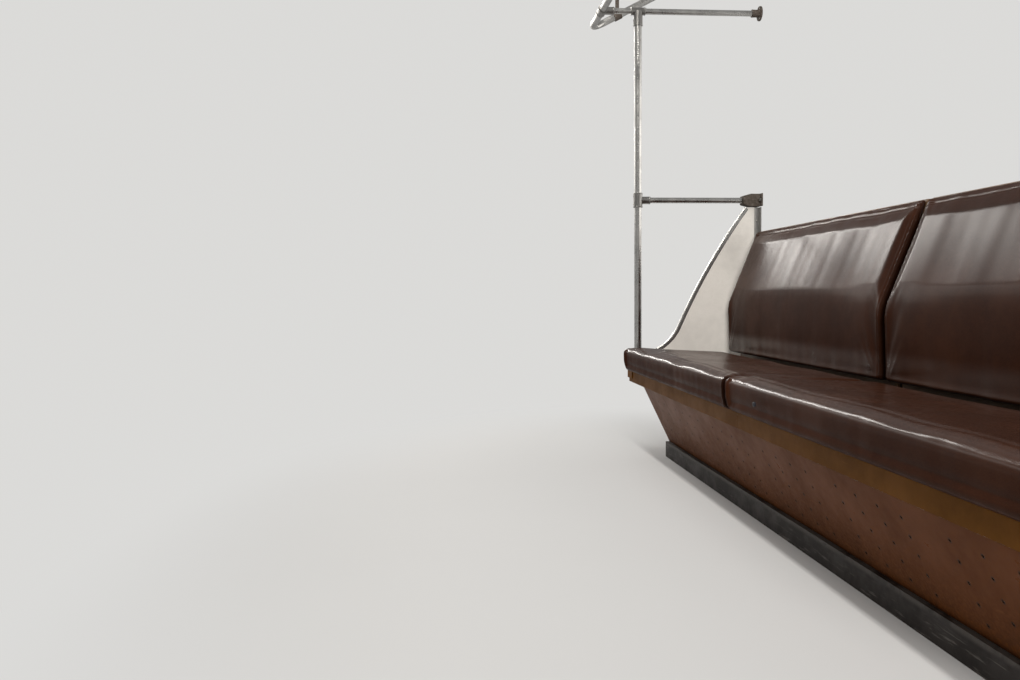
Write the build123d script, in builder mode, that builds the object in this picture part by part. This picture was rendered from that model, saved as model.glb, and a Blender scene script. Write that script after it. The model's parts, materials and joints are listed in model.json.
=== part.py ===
from build123d import *
import os
from math import degrees, hypot, radians, tan

os.makedirs("parts", exist_ok=True)

# Metro car bench seat for six people, with its end screens, poles and overhead grab rail.
# Millimetres. X runs along the bench from its middle, Y points at the car's wall, Z is up from
# the floor. "out" is a distance from the wall into the car, and "up" a height above the floor.

# Along the bench
pole_spacing = 2890.0
seat_end_gap = 49.5
seat_count = 6
seat_gap = 16.0
back_gap = 30.0
ledge_gap = 4.0
rim_overhang = 28.0
box_inset = 193.0
rib_inset = 25.0
rib_count = 5

# Base: a perforated box on a plinth, with a wider rim at the top
base_top_up = 363.0
rim_drop = 48.0
rim_out = 587.0
rim_flange = 25.0
box_top_out = 570.0
box_foot_out = 452.0
box_sheet = 2.0
rib_sheet = 2.5
rib_flange = 20.0
rear_clearance = 2.0
plinth_up = 66.0
plinth_sheet = 3.0
plinth_proud = 16.0
plinth_end_proud = 3.0
plinth_flange = 24.0

# Holes in the front panel, in one group under each seat
hole_radius = 3.2
hole_sides = 8
hole_columns = 4
hole_rows = 5
hole_pitch = 98.0
hole_row_pitch = 44.0
hole_drop = 58.0
hole_margin = 20.0

# Strip along the rim
fascia_thickness = 3.0
fascia_top_gap = 2.0
fascia_joint = 2.0

# Seat halves
seat_front_out = 645.0
seat_clearance = 2.0
pan_thickness = 12.0
pan_setback = 12.0
cushion_rear_height = 63.0
cushion_front_height = 95.0
cushion_chin_setback = 5.0
cushion_nose_radius = 26.0
cushion_chin_radius = 50.0
cushion_crevice_radius = 12.0
cushion_end_radius = 10.0
seal_width = 12.0
seal_gap = 0.3

# Hinges in the crevice behind the seats
hinges_per_seat = 2
hinge_spacing = 900.0
hinge_length = 120.0
hinge_rise = 53.0
hinge_stand_off = 1.0
knuckle_radius = 6.0
knuckle_gap = 0.5
pin_radius = 3.0
pin_clearance = 0.05
leaf_thickness = 1.5
leaf_foot = 30.0
seat_rear_gap = 0.5

# Rear frame
hinge_rail_out = 165.0
hinge_rail_depth = 80.0
hinge_rail_height = 40.0
hinge_rail_wall = 3.0
post_depth = 20.0
post_width = 40.0
post_wall = 2.5
post_drop = 53.0
back_rib_sheet = 3.0
back_rib_offset = 17.0

# Backrests
back_seat_gap = 6.0
back_setback = 8.0
back_bend_rise = 209.0
back_bend_out = 167.0
back_height = 532.0
back_top_out = 36.0
back_pad_bottom = 56.0
back_pad_bend = 62.0
back_pad_top = 20.0
back_pad_bend_drop = 15.0
back_bend_radius = 150.0
back_edge_radius = 9.0
back_end_radius = 6.0
board_thickness = 9.0

# End ledges
ledge_thickness = 12.0
ledge_overhang = 4.0
ledge_lip = 3.0
ledge_front_lip = 7.0
ledge_front_drop = 32.0
ledge_end_drop = 22.0

# End screens
screen_thickness = 16.0
screen_wall_gap = 3.0
screen_top_up = 1090.0
screen_top_out = 64.0
screen_knee_up = 560.0
screen_knee_out = 372.0
screen_toe_up = 444.0
screen_toe_out = 512.0
screen_bow = 6.0
screen_pole_gap = 1.0
trim_thickness = 2.0
trim_cover = 12.0
angle_leg = 25.0
angle_thickness = 3.0

# Poles and rails
pole_setback = 40.0
pole_radius = 16.0
bar_radius = 12.5
rail_radius = 16.0
tube_wall = 2.0
cross_up = 1950.0
rail_stand_off = 161.0
rail_overrun = 280.0
rail_bend_radius = 75.0
rail_top_bend_radius = 55.0
rail_flange_out = 300.0
rail_end_rise = 60.0
ceiling_rise = 275.0
hanger_setback = 125.0
hanger_radius = 9.0

# Fittings on the tubes
sleeve_wall = 4.0
sleeve_length = 64.0
socket_length = 34.0
ceiling_socket_length = 18.0
tube_end_gap = 2.0
foot_height = 14.0
foot_radius = 26.0
foot_gap = 2.0
ferrule_height = 40.0
ferrule_wall = 3.0
block_gap = 4.0
block_depth = 80.0
block_height = 56.0
block_width = 50.0
block_nose_height = 38.0
block_nose_length = 34.0
block_edge_radius = 6.0
block_plate_width = 100.0
block_plate_thickness = 6.0
block_bolt_spacing = 78.0
block_bolt_radius = 4.5
flange_radius = 32.0
flange_thickness = 6.0
flange_bolt_circle = 48.0
flange_bolt_count = 3
flange_bolt_radius = 3.0

# Floor fixings
cleat_inset = 90.0
cleat_spacing_y = 360.0
cleat_leg = 50.0
cleat_sheet = 4.0
floor_bolt_radius = 5.5

# Places along the bench
pole_x = pole_spacing / 2
rim_end_x = pole_x + rim_overhang
box_end_x = rim_end_x - box_inset
rib_reach = box_end_x - rib_inset
rib_spacing = 2 * rib_reach / (rib_count - 1)
seat_end_x = pole_x - screen_thickness / 2 - seat_end_gap
seat_pitch = 2 * seat_end_x / seat_count
seat_length = seat_end_x - seat_gap / 2
back_length = seat_end_x - back_gap / 2
ledge_inner_x = seat_end_x + ledge_gap

# Places out from the wall
pan_front_out = rim_out - pan_setback
fascia_out = rim_out + fascia_thickness
ledge_front_out = rim_out + ledge_front_lip
pole_out = ledge_front_out - pole_setback
rail_out = pole_out + rail_stand_off
hanger_out = rail_out - hanger_setback
hinge_out = hinge_rail_out + knuckle_radius + hinge_stand_off
seat_rear_out = hinge_out + knuckle_radius + seat_rear_gap

# Heights
rim_bottom_up = base_top_up - rim_drop
box_top_up = rim_bottom_up - box_sheet
pan_bottom_up = base_top_up + seat_clearance
pan_top_up = pan_bottom_up + pan_thickness
seat_rear_up = pan_top_up + cushion_rear_height
hinge_up = pan_top_up + hinge_rise
back_bottom_up = seat_rear_up + back_seat_gap
back_top_up = back_bottom_up + back_height
post_top_up = back_top_up - post_drop
hinge_rail_top_up = base_top_up + hinge_rail_height
ledge_top_up = base_top_up + ledge_thickness
foot_top_up = ledge_top_up + foot_height
arm_up = screen_top_up + block_gap + block_height / 2
ceiling_up = cross_up + ceiling_rise

# Outer radii of the fittings
sleeve_radius = pole_radius + sleeve_wall
bar_sleeve_radius = bar_radius + sleeve_wall
rail_sleeve_radius = rail_radius + sleeve_wall
ferrule_radius = pole_radius + ferrule_wall

# The wall's Y puts the origin in the middle of the unit's depth
wall_y = (rail_out + rail_sleeve_radius) / 2
sides = (("left", -1), ("right", 1))


def y(out):
    """Y of a place that lies so far out from the wall."""
    return wall_y - out


def yz(points):
    """Profile points given as (out, up) pairs, in the Y-Z plane."""
    return [(y(out), up) for out, up in points]


def upright(x, out, up):
    """A level plane that faces up."""
    return Plane(origin=(x, y(out), up))


def towards_wall(x, out, up):
    """A plane across a bar, facing the wall."""
    return Plane(origin=(x, y(out), up), x_dir=(1, 0, 0), z_dir=(0, 1, 0))


def along_bench(x, out, up):
    """A plane across a rail, facing along the bench."""
    return Plane(origin=(x, y(out), up), z_dir=(1, 0, 0))


def finish(piece, name):
    """Label a finished piece and write it to its own file."""
    piece.part.label = name
    export_step(piece.part, f"parts/{name}.step")


def slab(points, start, length, radii=0):
    """A piece of one profile that runs along the bench from start."""
    with BuildPart() as piece:
        with BuildSketch(Plane.YZ.offset(start)):
            with BuildLine():
                FilletPolyline(*yz(points), radius=radii, close=True)
            make_face()
        extrude(amount=length)
    return piece


def tube(plane, radius, length):
    """A round tube from the plane's origin along its normal."""
    with BuildPart() as piece:
        with BuildSketch(plane):
            Circle(radius)
            Circle(radius - tube_wall, mode=Mode.SUBTRACT)
        extrude(amount=length)
    return piece


def bent_tube(points, radius, bend_radii):
    """A round tube of straight runs joined by round bends."""
    corners = [Vector(*point) for point in points]
    start = corners[0]
    way = (corners[1] - start).normalized()
    with BuildPart() as piece:
        for corner, following, bend in zip(corners[1:-1], corners[2:], bend_radii):
            next_way = (following - corner).normalized()
            turn = way.get_angle(next_way)
            reach = bend * tan(radians(turn / 2))
            bend_start = corner - way * reach
            hinge_line = way.cross(next_way).normalized()
            add(tube(Plane(origin=start, z_dir=way), radius, (bend_start - start).length).part)
            with BuildSketch(Plane(origin=bend_start, z_dir=way)):
                Circle(radius)
                Circle(radius - tube_wall, mode=Mode.SUBTRACT)
            revolve(axis=Axis(bend_start + hinge_line.cross(way) * bend, hinge_line), revolution_arc=turn)
            start = corner + next_way * reach
            way = next_way
        add(tube(Plane(origin=start, z_dir=way), radius, (corners[-1] - start).length).part)
    return piece


# Plinth: a sheet-steel ring on the floor with a flange turned in at the top
plinth_x = box_end_x + plinth_end_proud
plinth_front_out = box_foot_out + plinth_proud
plinth_depth = plinth_front_out - rear_clearance
plinth_y = y((plinth_front_out + rear_clearance) / 2)
with BuildPart() as plinth:
    with BuildSketch(Plane.XY):
        with Locations((0, plinth_y)):
            Rectangle(2 * plinth_x, plinth_depth)
            Rectangle(2 * (plinth_x - plinth_sheet), plinth_depth - 2 * plinth_sheet, mode=Mode.SUBTRACT)
    extrude(amount=plinth_up)
    with BuildSketch(Plane.XY.offset(plinth_up - plinth_sheet)):
        with Locations((0, plinth_y)):
            Rectangle(2 * plinth_x, plinth_depth)
            Rectangle(2 * (plinth_x - plinth_flange), plinth_depth - 2 * plinth_flange, mode=Mode.SUBTRACT)
    extrude(amount=plinth_sheet)
finish(plinth, "plinth")

# Floor cleats: four angles inside the plinth that bolt it down
cleat_reach = plinth_depth - 2 * plinth_sheet
cleat_foot = cleat_reach - cleat_spacing_y
cleat_spacing_x = 2 * (box_end_x - cleat_inset)
with BuildPart() as floor_cleats:
    with BuildSketch(Plane.XY):
        with Locations((0, plinth_y)):
            with GridLocations(cleat_spacing_x, cleat_spacing_y, 2, 2):
                Rectangle(cleat_leg, cleat_foot)
                Circle(floor_bolt_radius, mode=Mode.SUBTRACT)
    extrude(amount=cleat_sheet)
    with BuildSketch(Plane.XY):
        with Locations((0, plinth_y)):
            with GridLocations(cleat_spacing_x, cleat_reach - cleat_sheet, 2, 2):
                Rectangle(cleat_leg, cleat_sheet)
    extrude(amount=cleat_leg)
finish(floor_cleats, "floor_cleats")

# Front panel: a sheet that slopes in to the foot, with a lip turned out under the rim
panel_drop = box_top_up - plinth_up
panel_setback = box_top_out - box_foot_out
panel_length = hypot(panel_drop, panel_setback)
panel_slope = panel_setback / panel_drop
sheet_out = box_sheet * panel_length / panel_drop
panel_profile = [
    (box_foot_out, plinth_up),
    (box_top_out, box_top_up),
    (rim_out, box_top_up),
    (rim_out, rim_bottom_up),
    (box_top_out - sheet_out + box_sheet * panel_slope, rim_bottom_up),
    (box_foot_out - sheet_out, plinth_up),
]
panel_x = box_end_x - box_sheet

# The panel's holes stand in rows down the slope and in columns under each seat
panel_face = Plane(
    origin=(0, y(box_foot_out), plinth_up), x_dir=(1, 0, 0), z_dir=(0, -panel_drop, -panel_setback)
)
hole_places = []
for seat in range(seat_count):
    seat_x = (seat + 0.5) * seat_pitch - seat_end_x
    for column in range(hole_columns):
        hole_x = seat_x + (column - (hole_columns - 1) / 2) * hole_pitch
        if abs(hole_x) < panel_x - hole_margin:
            for row in range(hole_rows):
                hole_places.append((hole_x, panel_length - hole_drop - row * hole_row_pitch))
with BuildPart() as front_panel:
    add(slab(panel_profile, -panel_x, 2 * panel_x).part)
    with BuildSketch(panel_face):
        with Locations(*hole_places):
            RegularPolygon(hole_radius, hole_sides)
    extrude(amount=2 * box_sheet, both=True, mode=Mode.SUBTRACT)
finish(front_panel, "front_panel")

# Front rim: an angle on the panel's lip that the closed seats rest on
rim_x = rim_end_x - box_sheet
rim_profile = [
    (rim_out, rim_bottom_up),
    (rim_out, base_top_up),
    (rim_out - rim_flange, base_top_up),
    (rim_out - rim_flange, base_top_up - box_sheet),
    (rim_out - box_sheet, base_top_up - box_sheet),
    (rim_out - box_sheet, rim_bottom_up),
]
front_rim = slab(rim_profile, -rim_x, 2 * rim_x)
finish(front_rim, "front_rim")

# Rubber strips on the rim, one under each seat's front edge
with BuildPart() as seat_seals:
    with BuildSketch(Plane.XY.offset(base_top_up)):
        with Locations((0, y((rim_out - rim_flange + pan_front_out) / 2))):
            with GridLocations(seat_length + seat_gap, 0, 2, 1):
                Rectangle(seat_length, seal_width)
    extrude(amount=seat_clearance - seal_gap)
finish(seat_seals, "seat_seals")

# Ends of the base: a wall, a tray that carries the ledge past it, and an upstand
wall_profile = [
    (rear_clearance, plinth_up),
    (box_foot_out, plinth_up),
    (box_top_out, box_top_up),
    (rear_clearance, box_top_up),
]
tray_profile = [
    (rear_clearance, box_top_up),
    (rim_out, box_top_up),
    (rim_out, rim_bottom_up),
    (rear_clearance, rim_bottom_up),
]
upstand_profile = [
    (rear_clearance, box_top_up),
    (rim_out, box_top_up),
    (rim_out, base_top_up),
    (rear_clearance, base_top_up),
]
for name, side in sides:
    with BuildPart() as end_panel:
        add(slab(wall_profile, side * panel_x, side * box_sheet).part)
        add(slab(tray_profile, side * panel_x, side * (rim_end_x - panel_x)).part)
        add(slab(upstand_profile, side * rim_x, side * box_sheet).part)
    finish(end_panel, f"end_panel_{name}")

# Ribs across the base, each with a flange turned over at the top
rib_profile = [
    (post_depth, plinth_up),
    (box_foot_out - sheet_out, plinth_up),
    (box_top_out - sheet_out, box_top_up),
    (rim_out - rim_flange, box_top_up),
    (rim_out - rim_flange, base_top_up),
    (post_depth, base_top_up),
]
rib_flange_profile = [
    (hinge_rail_out, base_top_up - rib_sheet),
    (rim_out - rim_flange, base_top_up - rib_sheet),
    (rim_out - rim_flange, base_top_up),
    (hinge_rail_out, base_top_up),
]
with BuildPart() as ribs:
    for number in range(rib_count):
        rib_x = number * rib_spacing - rib_reach
        add(slab(rib_profile, rib_x - rib_sheet / 2, rib_sheet).part)
        add(slab(rib_flange_profile, rib_x - rib_sheet / 2, rib_flange).part)
finish(ribs, "ribs")

# Rear frame: tube posts on the plinth, a rail for the hinges, and ribs behind the backrests
with BuildPart() as posts:
    with BuildSketch(Plane.XY.offset(plinth_up)):
        with Locations((0, y(post_depth / 2))):
            with GridLocations(rib_spacing, 0, rib_count, 1):
                Rectangle(post_width, post_depth)
                Rectangle(post_width - 2 * post_wall, post_depth - 2 * post_wall, mode=Mode.SUBTRACT)
    extrude(amount=post_top_up - plinth_up)
finish(posts, "posts")

with BuildPart() as hinge_rail:
    rail_centre = (y(hinge_rail_out - hinge_rail_depth / 2), base_top_up + hinge_rail_height / 2)
    with BuildSketch(Plane.YZ.offset(-seat_end_x)):
        with Locations(rail_centre):
            Rectangle(hinge_rail_depth, hinge_rail_height)
            Rectangle(
                hinge_rail_depth - 2 * hinge_rail_wall,
                hinge_rail_height - 2 * hinge_rail_wall,
                mode=Mode.SUBTRACT,
            )
    extrude(amount=2 * seat_end_x)
finish(hinge_rail, "hinge_rail")

back_bottom_out = hinge_rail_out - back_setback
back_bend_up = back_bottom_up + back_bend_rise
pad_back = [
    (back_bottom_out - back_pad_bottom, back_bottom_up),
    (back_bend_out - back_pad_bend, back_bend_up - back_pad_bend_drop),
    (back_top_out - back_pad_top, back_top_up),
]
board_front = [(pad_back[0][0], hinge_rail_top_up)] + pad_back
board_back = [(out - board_thickness, up) for out, up in board_front]
lean = (board_back[2][0] - board_back[3][0]) / (board_back[3][1] - board_back[2][1])
board_back_at_post_top = board_back[3][0] + lean * (board_back[3][1] - post_top_up)
back_rib_profile = [
    (post_depth, hinge_rail_top_up),
    board_back[0],
    board_back[1],
    board_back[2],
    (board_back_at_post_top, post_top_up),
    (post_depth, post_top_up),
]
back_rib_places = [-rib_reach, -rib_spacing, -back_rib_offset, back_rib_offset, rib_spacing, rib_reach]
with BuildPart() as back_ribs:
    for rib_x in back_rib_places:
        add(slab(back_rib_profile, rib_x - back_rib_sheet / 2, back_rib_sheet).part)
finish(back_ribs, "back_ribs")

# Backrests: a bent board and a pad for each half
pad_profile = [
    (back_bottom_out, back_bottom_up),
    (back_bend_out, back_bend_up),
    (back_top_out, back_top_up),
] + pad_back[::-1]
for name, side in sides:
    back_board = slab(board_front + board_back[::-1], side * seat_end_x, -side * back_length)
    finish(back_board, f"back_board_{name}")

    back_pad = slab(
        pad_profile,
        side * seat_end_x,
        -side * back_length,
        radii=[back_edge_radius, back_bend_radius, back_edge_radius, 0, 0, 0],
    )
    with back_pad:
        pad_ends = back_pad.faces().filter_by(Axis.X)
        fillet(pad_ends.edges(), radius=back_end_radius)
    finish(back_pad, f"back_cushion_{name}")

# Fixed leaves of the hinges: two outer knuckles with the pin through them, on the rail's face
knuckle_length = hinge_length / 3
hinge_axis = (y(hinge_out), hinge_up)
knuckle_room = 2 * (knuckle_radius + leaf_thickness)
seat_middle = (seat_gap + seat_length) / 2
hinge_first = seat_middle - (hinges_per_seat - 1) * hinge_spacing / 2
hinge_places = [hinge_first + number * hinge_spacing for number in range(hinges_per_seat)]
leaf_bottom_up = base_top_up + hinge_rail_wall
with BuildPart() as fixed_leaves:
    for hinge_x in hinge_places:
        hinge_start = hinge_x - hinge_length / 2
        for knuckle_x in (hinge_start, hinge_start + hinge_length - knuckle_length):
            with BuildSketch(Plane.YZ.offset(knuckle_x)):
                with Locations(hinge_axis):
                    Circle(knuckle_radius)
            extrude(amount=knuckle_length)
        with BuildSketch(Plane.YZ.offset(hinge_start)):
            with Locations(hinge_axis):
                Circle(pin_radius)
        extrude(amount=hinge_length)
        with BuildSketch(Plane.XZ.offset(-y(hinge_rail_out))):
            with Locations((hinge_x, (leaf_bottom_up + hinge_up) / 2)):
                Rectangle(hinge_length, hinge_up - leaf_bottom_up)
            with Locations((hinge_x, hinge_up)):
                Rectangle(knuckle_length, knuckle_room, mode=Mode.SUBTRACT)
        extrude(amount=leaf_thickness)
    mirror(about=Plane.YZ)
finish(fixed_leaves, "hinge_fixed")

# Seat halves: pan and cushion, with the moving leaves of their hinges
pan_profile = [
    (seat_rear_out, pan_bottom_up),
    (pan_front_out, pan_bottom_up),
    (pan_front_out, pan_top_up),
    (seat_rear_out, pan_top_up),
]
cushion_profile = [
    (seat_rear_out, pan_top_up),
    (seat_rear_out, seat_rear_up),
    (seat_front_out, pan_top_up + cushion_front_height),
    (seat_front_out - cushion_chin_setback, pan_bottom_up),
    (pan_front_out, pan_bottom_up),
    (pan_front_out, pan_top_up),
]
cushion_radii = [0, cushion_crevice_radius, cushion_nose_radius, cushion_chin_radius, 0, 0]
fascia_profile = [
    (rim_out, rim_bottom_up),
    (fascia_out, rim_bottom_up),
    (fascia_out, base_top_up - fascia_top_gap),
    (rim_out, base_top_up - fascia_top_gap),
]
moving_leaf_out = seat_rear_out - leaf_thickness
moving_leaf_foot_up = pan_bottom_up - leaf_thickness
for name, side in sides:
    seat_pan = slab(pan_profile, side * seat_end_x, -side * seat_length)
    finish(seat_pan, f"seat_pan_{name}")

    seat_cushion = slab(cushion_profile, side * seat_end_x, -side * seat_length, radii=cushion_radii)
    with seat_cushion:
        end_edges = seat_cushion.faces().filter_by(Axis.X).edges()
        fillet(end_edges.filter_by_position(Axis.Z, pan_top_up, seat_front_out, (False, True)),
               radius=cushion_end_radius)
    finish(seat_cushion, f"seat_cushion_{name}")

    # Ochre strip on the rim below each seat half
    fascia_start = side * fascia_joint / 2
    seat_fascia = slab(fascia_profile, fascia_start, side * (seat_end_x - fascia_joint / 2))
    finish(seat_fascia, f"seat_fascia_{name}")

    # Moving leaves: the middle knuckle, down the pan's rear edge and turned in under the pan
    with BuildPart() as moving_leaves:
        for hinge_x in [side * place for place in hinge_places]:
            knuckle_start = Plane.YZ.offset(hinge_x - knuckle_length / 2 + knuckle_gap)
            with BuildSketch(knuckle_start):
                with Locations(hinge_axis):
                    Circle(knuckle_radius)
            extrude(amount=knuckle_length - 2 * knuckle_gap)
            with BuildSketch(Plane.XZ.offset(-y(moving_leaf_out))):
                with Locations((hinge_x, (moving_leaf_foot_up + hinge_up) / 2)):
                    Rectangle(hinge_length, hinge_up - moving_leaf_foot_up)
                with Locations((hinge_x, hinge_up)):
                    with GridLocations(hinge_length - knuckle_length, 0, 2, 1):
                        Rectangle(knuckle_length + 2 * knuckle_gap, knuckle_room, mode=Mode.SUBTRACT)
            extrude(amount=leaf_thickness)
            with BuildSketch(Plane.XY.offset(moving_leaf_foot_up)):
                with Locations((hinge_x, y(moving_leaf_out + leaf_foot / 2))):
                    Rectangle(hinge_length, leaf_foot)
            extrude(amount=leaf_thickness)
            with BuildSketch(knuckle_start):
                with Locations(hinge_axis):
                    Circle(pin_radius + pin_clearance)
            extrude(amount=knuckle_length, mode=Mode.SUBTRACT)
    finish(moving_leaves, f"hinge_moving_{name}")


# The end screen's front edge: a bowed slope from the top, then an arc that flares to the toe.
# Each way is the edge's direction at a point; an arc's chord mirrors its first way to its last.
def mirrored(way, chord):
    """A direction mirrored about a chord's direction."""
    return chord * (2 * chord.dot(way)) - way


edge_top = Vector(screen_top_out, screen_top_up)
edge_knee = Vector(screen_knee_out, screen_knee_up)
edge_toe = Vector(screen_toe_out, screen_toe_up)
slope_chord = (edge_knee - edge_top).normalized()
flare_chord = (edge_toe - edge_knee).normalized()
top_way = slope_chord.rotate(Axis.Z, screen_bow)
knee_way = mirrored(top_way, slope_chord)
toe_way = mirrored(knee_way, flare_chord)
screen_tip_out = pole_out - ferrule_radius - screen_pole_gap
edge_tip = edge_toe + toe_way * ((screen_tip_out - screen_toe_out) / toe_way.X)


def edge_line(proud):
    """The screen's front edge moved outwards, as top, knee, toe and tip in the Y-Z plane."""
    corners = []
    for corner, way in (
        (edge_top, top_way),
        (edge_knee, knee_way),
        (edge_toe, toe_way),
        (edge_tip, toe_way),
    ):
        corners.append((y(corner.X - way.Y * proud), corner.Y + way.X * proud))
    return corners


def edge_curve(line, first, last):
    """The two arcs of the screen's edge, from its line's first corner to its last."""
    TangentArc(line[first], line[first + 1], tangent=(-top_way.X, top_way.Y))
    TangentArc(line[first + 1], line[last], tangent=(-knee_way.X, knee_way.Y))


def edge_band(plane, outer, inner, width):
    """A strip along the screen's front edge, between two lines parallel to it."""
    with BuildPart() as piece:
        with BuildSketch(plane):
            with BuildLine():
                outer_line = edge_line(outer)
                inner_line = edge_line(inner)
                edge_curve(outer_line, 0, 2)
                Polyline(outer_line[2], outer_line[3], inner_line[3], inner_line[2])
                edge_curve(inner_line, 0, 2)
                Line(inner_line[0], outer_line[0])
            make_face()
        extrude(amount=width)
    return piece


foot_notch_out = pole_out - foot_radius - foot_gap
foot_notch_up = foot_top_up + foot_gap
ledge_plate = [
    (rear_clearance, base_top_up),
    (rim_out, base_top_up),
    (rim_out, base_top_up - ledge_front_drop),
    (ledge_front_out, base_top_up - ledge_front_drop),
    (ledge_front_out, ledge_top_up),
    (rear_clearance, ledge_top_up),
]
ledge_end = [
    (rear_clearance, base_top_up - ledge_end_drop),
    (ledge_front_out, base_top_up - ledge_end_drop),
    (ledge_front_out, ledge_top_up),
    (rear_clearance, ledge_top_up),
]
pole_top_up = cross_up - bar_radius - tube_end_gap
arm_start_out = pole_out - pole_radius - tube_end_gap
arm_end_out = block_plate_thickness + tube_end_gap
cross_start_out = rail_out - rail_radius - tube_end_gap
cross_end_out = flange_thickness + tube_end_gap
bend_x = pole_x + rail_overrun
rail_rise_up = ceiling_up - rail_end_rise
rail_end_top_up = ceiling_up - flange_thickness - tube_end_gap
for name, side in sides:
    # Ledge over the base's end, with a lip in front and one over the end panel
    ledge_x = side * ledge_inner_x
    ledge_length = side * (rim_end_x + ledge_overhang - ledge_inner_x)
    with BuildPart() as ledge:
        add(slab(ledge_plate, ledge_x, ledge_length).part)
        add(slab(ledge_end, ledge_x + ledge_length, -side * ledge_lip).part)
    finish(ledge, f"ledge_{name}")

    # Screen: a laminate board on the ledge, notched round the pole's foot
    with BuildPart() as screen:
        with BuildSketch(Plane.YZ.offset(side * pole_x - screen_thickness / 2)):
            with BuildLine():
                screen_line = edge_line(0)
                edge_curve(screen_line, 0, 2)
                Polyline(
                    screen_line[2],
                    screen_line[3],
                    (y(screen_tip_out), foot_notch_up),
                    (y(foot_notch_out), foot_notch_up),
                    (y(foot_notch_out), ledge_top_up),
                    (y(screen_wall_gap), ledge_top_up),
                    (y(screen_wall_gap), screen_top_up),
                    screen_line[0],
                )
            make_face()
        extrude(amount=screen_thickness)
    finish(screen, f"screen_{name}")

    # Tubes: the pole, the arm rail, the cross bar and the overhead rail's bent end
    pole = tube(upright(side * pole_x, pole_out, foot_top_up), pole_radius, pole_top_up - foot_top_up)
    finish(pole, f"pole_{name}")

    arm_start = towards_wall(side * pole_x, arm_start_out, arm_up)
    arm_rail = tube(arm_start, bar_radius, arm_start_out - arm_end_out)
    finish(arm_rail, f"arm_rail_{name}")

    cross_start = towards_wall(side * pole_x, cross_start_out, cross_up)
    cross_bar = tube(cross_start, bar_radius, cross_start_out - cross_end_out)
    finish(cross_bar, f"cross_bar_{name}")

    rail_end = bent_tube(
        [
            (side * (pole_x + tube_end_gap / 2), y(rail_out), cross_up),
            (side * bend_x, y(rail_out), cross_up),
            (side * bend_x, y(rail_flange_out), rail_rise_up),
            (side * bend_x, y(rail_flange_out), rail_end_top_up),
        ],
        rail_radius,
        [rail_bend_radius, rail_top_bend_radius],
    )
    finish(rail_end, f"rail_end_{name}")

# Overhead rail between the two tees
rail_length = pole_spacing - tube_end_gap
overhead_rail = tube(along_bench(-rail_length / 2, rail_out, cross_up), rail_radius, rail_length)
finish(overhead_rail, "overhead_rail")

# Trims: a metal channel over each screen's front edge
trim_width = screen_thickness + 2 * trim_thickness
with BuildPart() as screen_trims:
    add(edge_band(Plane.YZ.offset(pole_x - trim_width / 2), trim_thickness, -trim_cover, trim_width).part)
    groove_plane = Plane.YZ.offset(pole_x - screen_thickness / 2)
    add(edge_band(groove_plane, 0, -2 * trim_cover, screen_thickness).part, mode=Mode.SUBTRACT)
    mirror(about=Plane.YZ)
finish(screen_trims, "screen_trims")

# Angles that fix the screens to the wall, on the seats' side of them
angle_x = pole_x - screen_thickness / 2
with BuildPart() as wall_angles:
    with BuildSketch(Plane.XY.offset(ledge_top_up)):
        with BuildLine():
            Polyline(
                (angle_x, y(0)),
                (angle_x - angle_leg, y(0)),
                (angle_x - angle_leg, y(angle_thickness)),
                (angle_x - angle_thickness, y(angle_thickness)),
                (angle_x - angle_thickness, y(angle_leg)),
                (angle_x, y(angle_leg)),
                close=True,
            )
        make_face()
    extrude(amount=screen_top_up - ledge_top_up)
    mirror(about=Plane.YZ)
finish(wall_angles, "wall_angles")

# Pole feet, each with a ferrule round its pole
with BuildPart() as pole_feet:
    with BuildSketch(upright(pole_x, pole_out, ledge_top_up)):
        Circle(foot_radius)
    extrude(amount=foot_height)
    with BuildSketch(upright(pole_x, pole_out, foot_top_up)):
        Circle(ferrule_radius)
        Circle(pole_radius, mode=Mode.SUBTRACT)
    extrude(amount=ferrule_height)
    mirror(about=Plane.YZ)
finish(pole_feet, "pole_feet")

# Tees that hold the arm rails to the poles
with BuildPart() as arm_tees:
    with BuildSketch(upright(pole_x, pole_out, arm_up)):
        Circle(sleeve_radius)
    extrude(amount=sleeve_length / 2, both=True)
    with BuildSketch(towards_wall(pole_x, pole_out, arm_up)):
        Circle(bar_sleeve_radius)
    extrude(amount=sleeve_radius + socket_length)
    with BuildSketch(upright(pole_x, pole_out, arm_up)):
        Circle(pole_radius)
    extrude(amount=sleeve_length / 2, both=True, mode=Mode.SUBTRACT)
    with BuildSketch(towards_wall(pole_x, arm_start_out, arm_up)):
        Circle(bar_radius)
    extrude(amount=sleeve_radius + socket_length, mode=Mode.SUBTRACT)
    mirror(about=Plane.YZ)
finish(arm_tees, "arm_tees")

# Blocks that hold the arm rails to the wall
block_profile = [
    (0, arm_up - block_height / 2),
    (block_depth - block_nose_length, arm_up - block_height / 2),
    (block_depth, arm_up - block_nose_height / 2),
    (block_depth, arm_up + block_nose_height / 2),
    (block_depth - block_nose_length, arm_up + block_height / 2),
    (0, arm_up + block_height / 2),
]
block_radii = [0] + 4 * [block_edge_radius] + [0]
with BuildPart() as wall_blocks:
    add(slab(block_profile, pole_x - block_width / 2, block_width, radii=block_radii).part)
    with BuildSketch(towards_wall(pole_x, block_plate_thickness, arm_up)):
        Rectangle(block_plate_width, block_height)
        with GridLocations(block_bolt_spacing, 0, 2, 1):
            Circle(block_bolt_radius, mode=Mode.SUBTRACT)
    extrude(amount=block_plate_thickness)
    with BuildSketch(towards_wall(pole_x, block_depth, arm_up)):
        Circle(bar_radius)
    extrude(amount=block_depth - arm_end_out, mode=Mode.SUBTRACT)
    mirror(about=Plane.YZ)
finish(wall_blocks, "wall_blocks")

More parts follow.
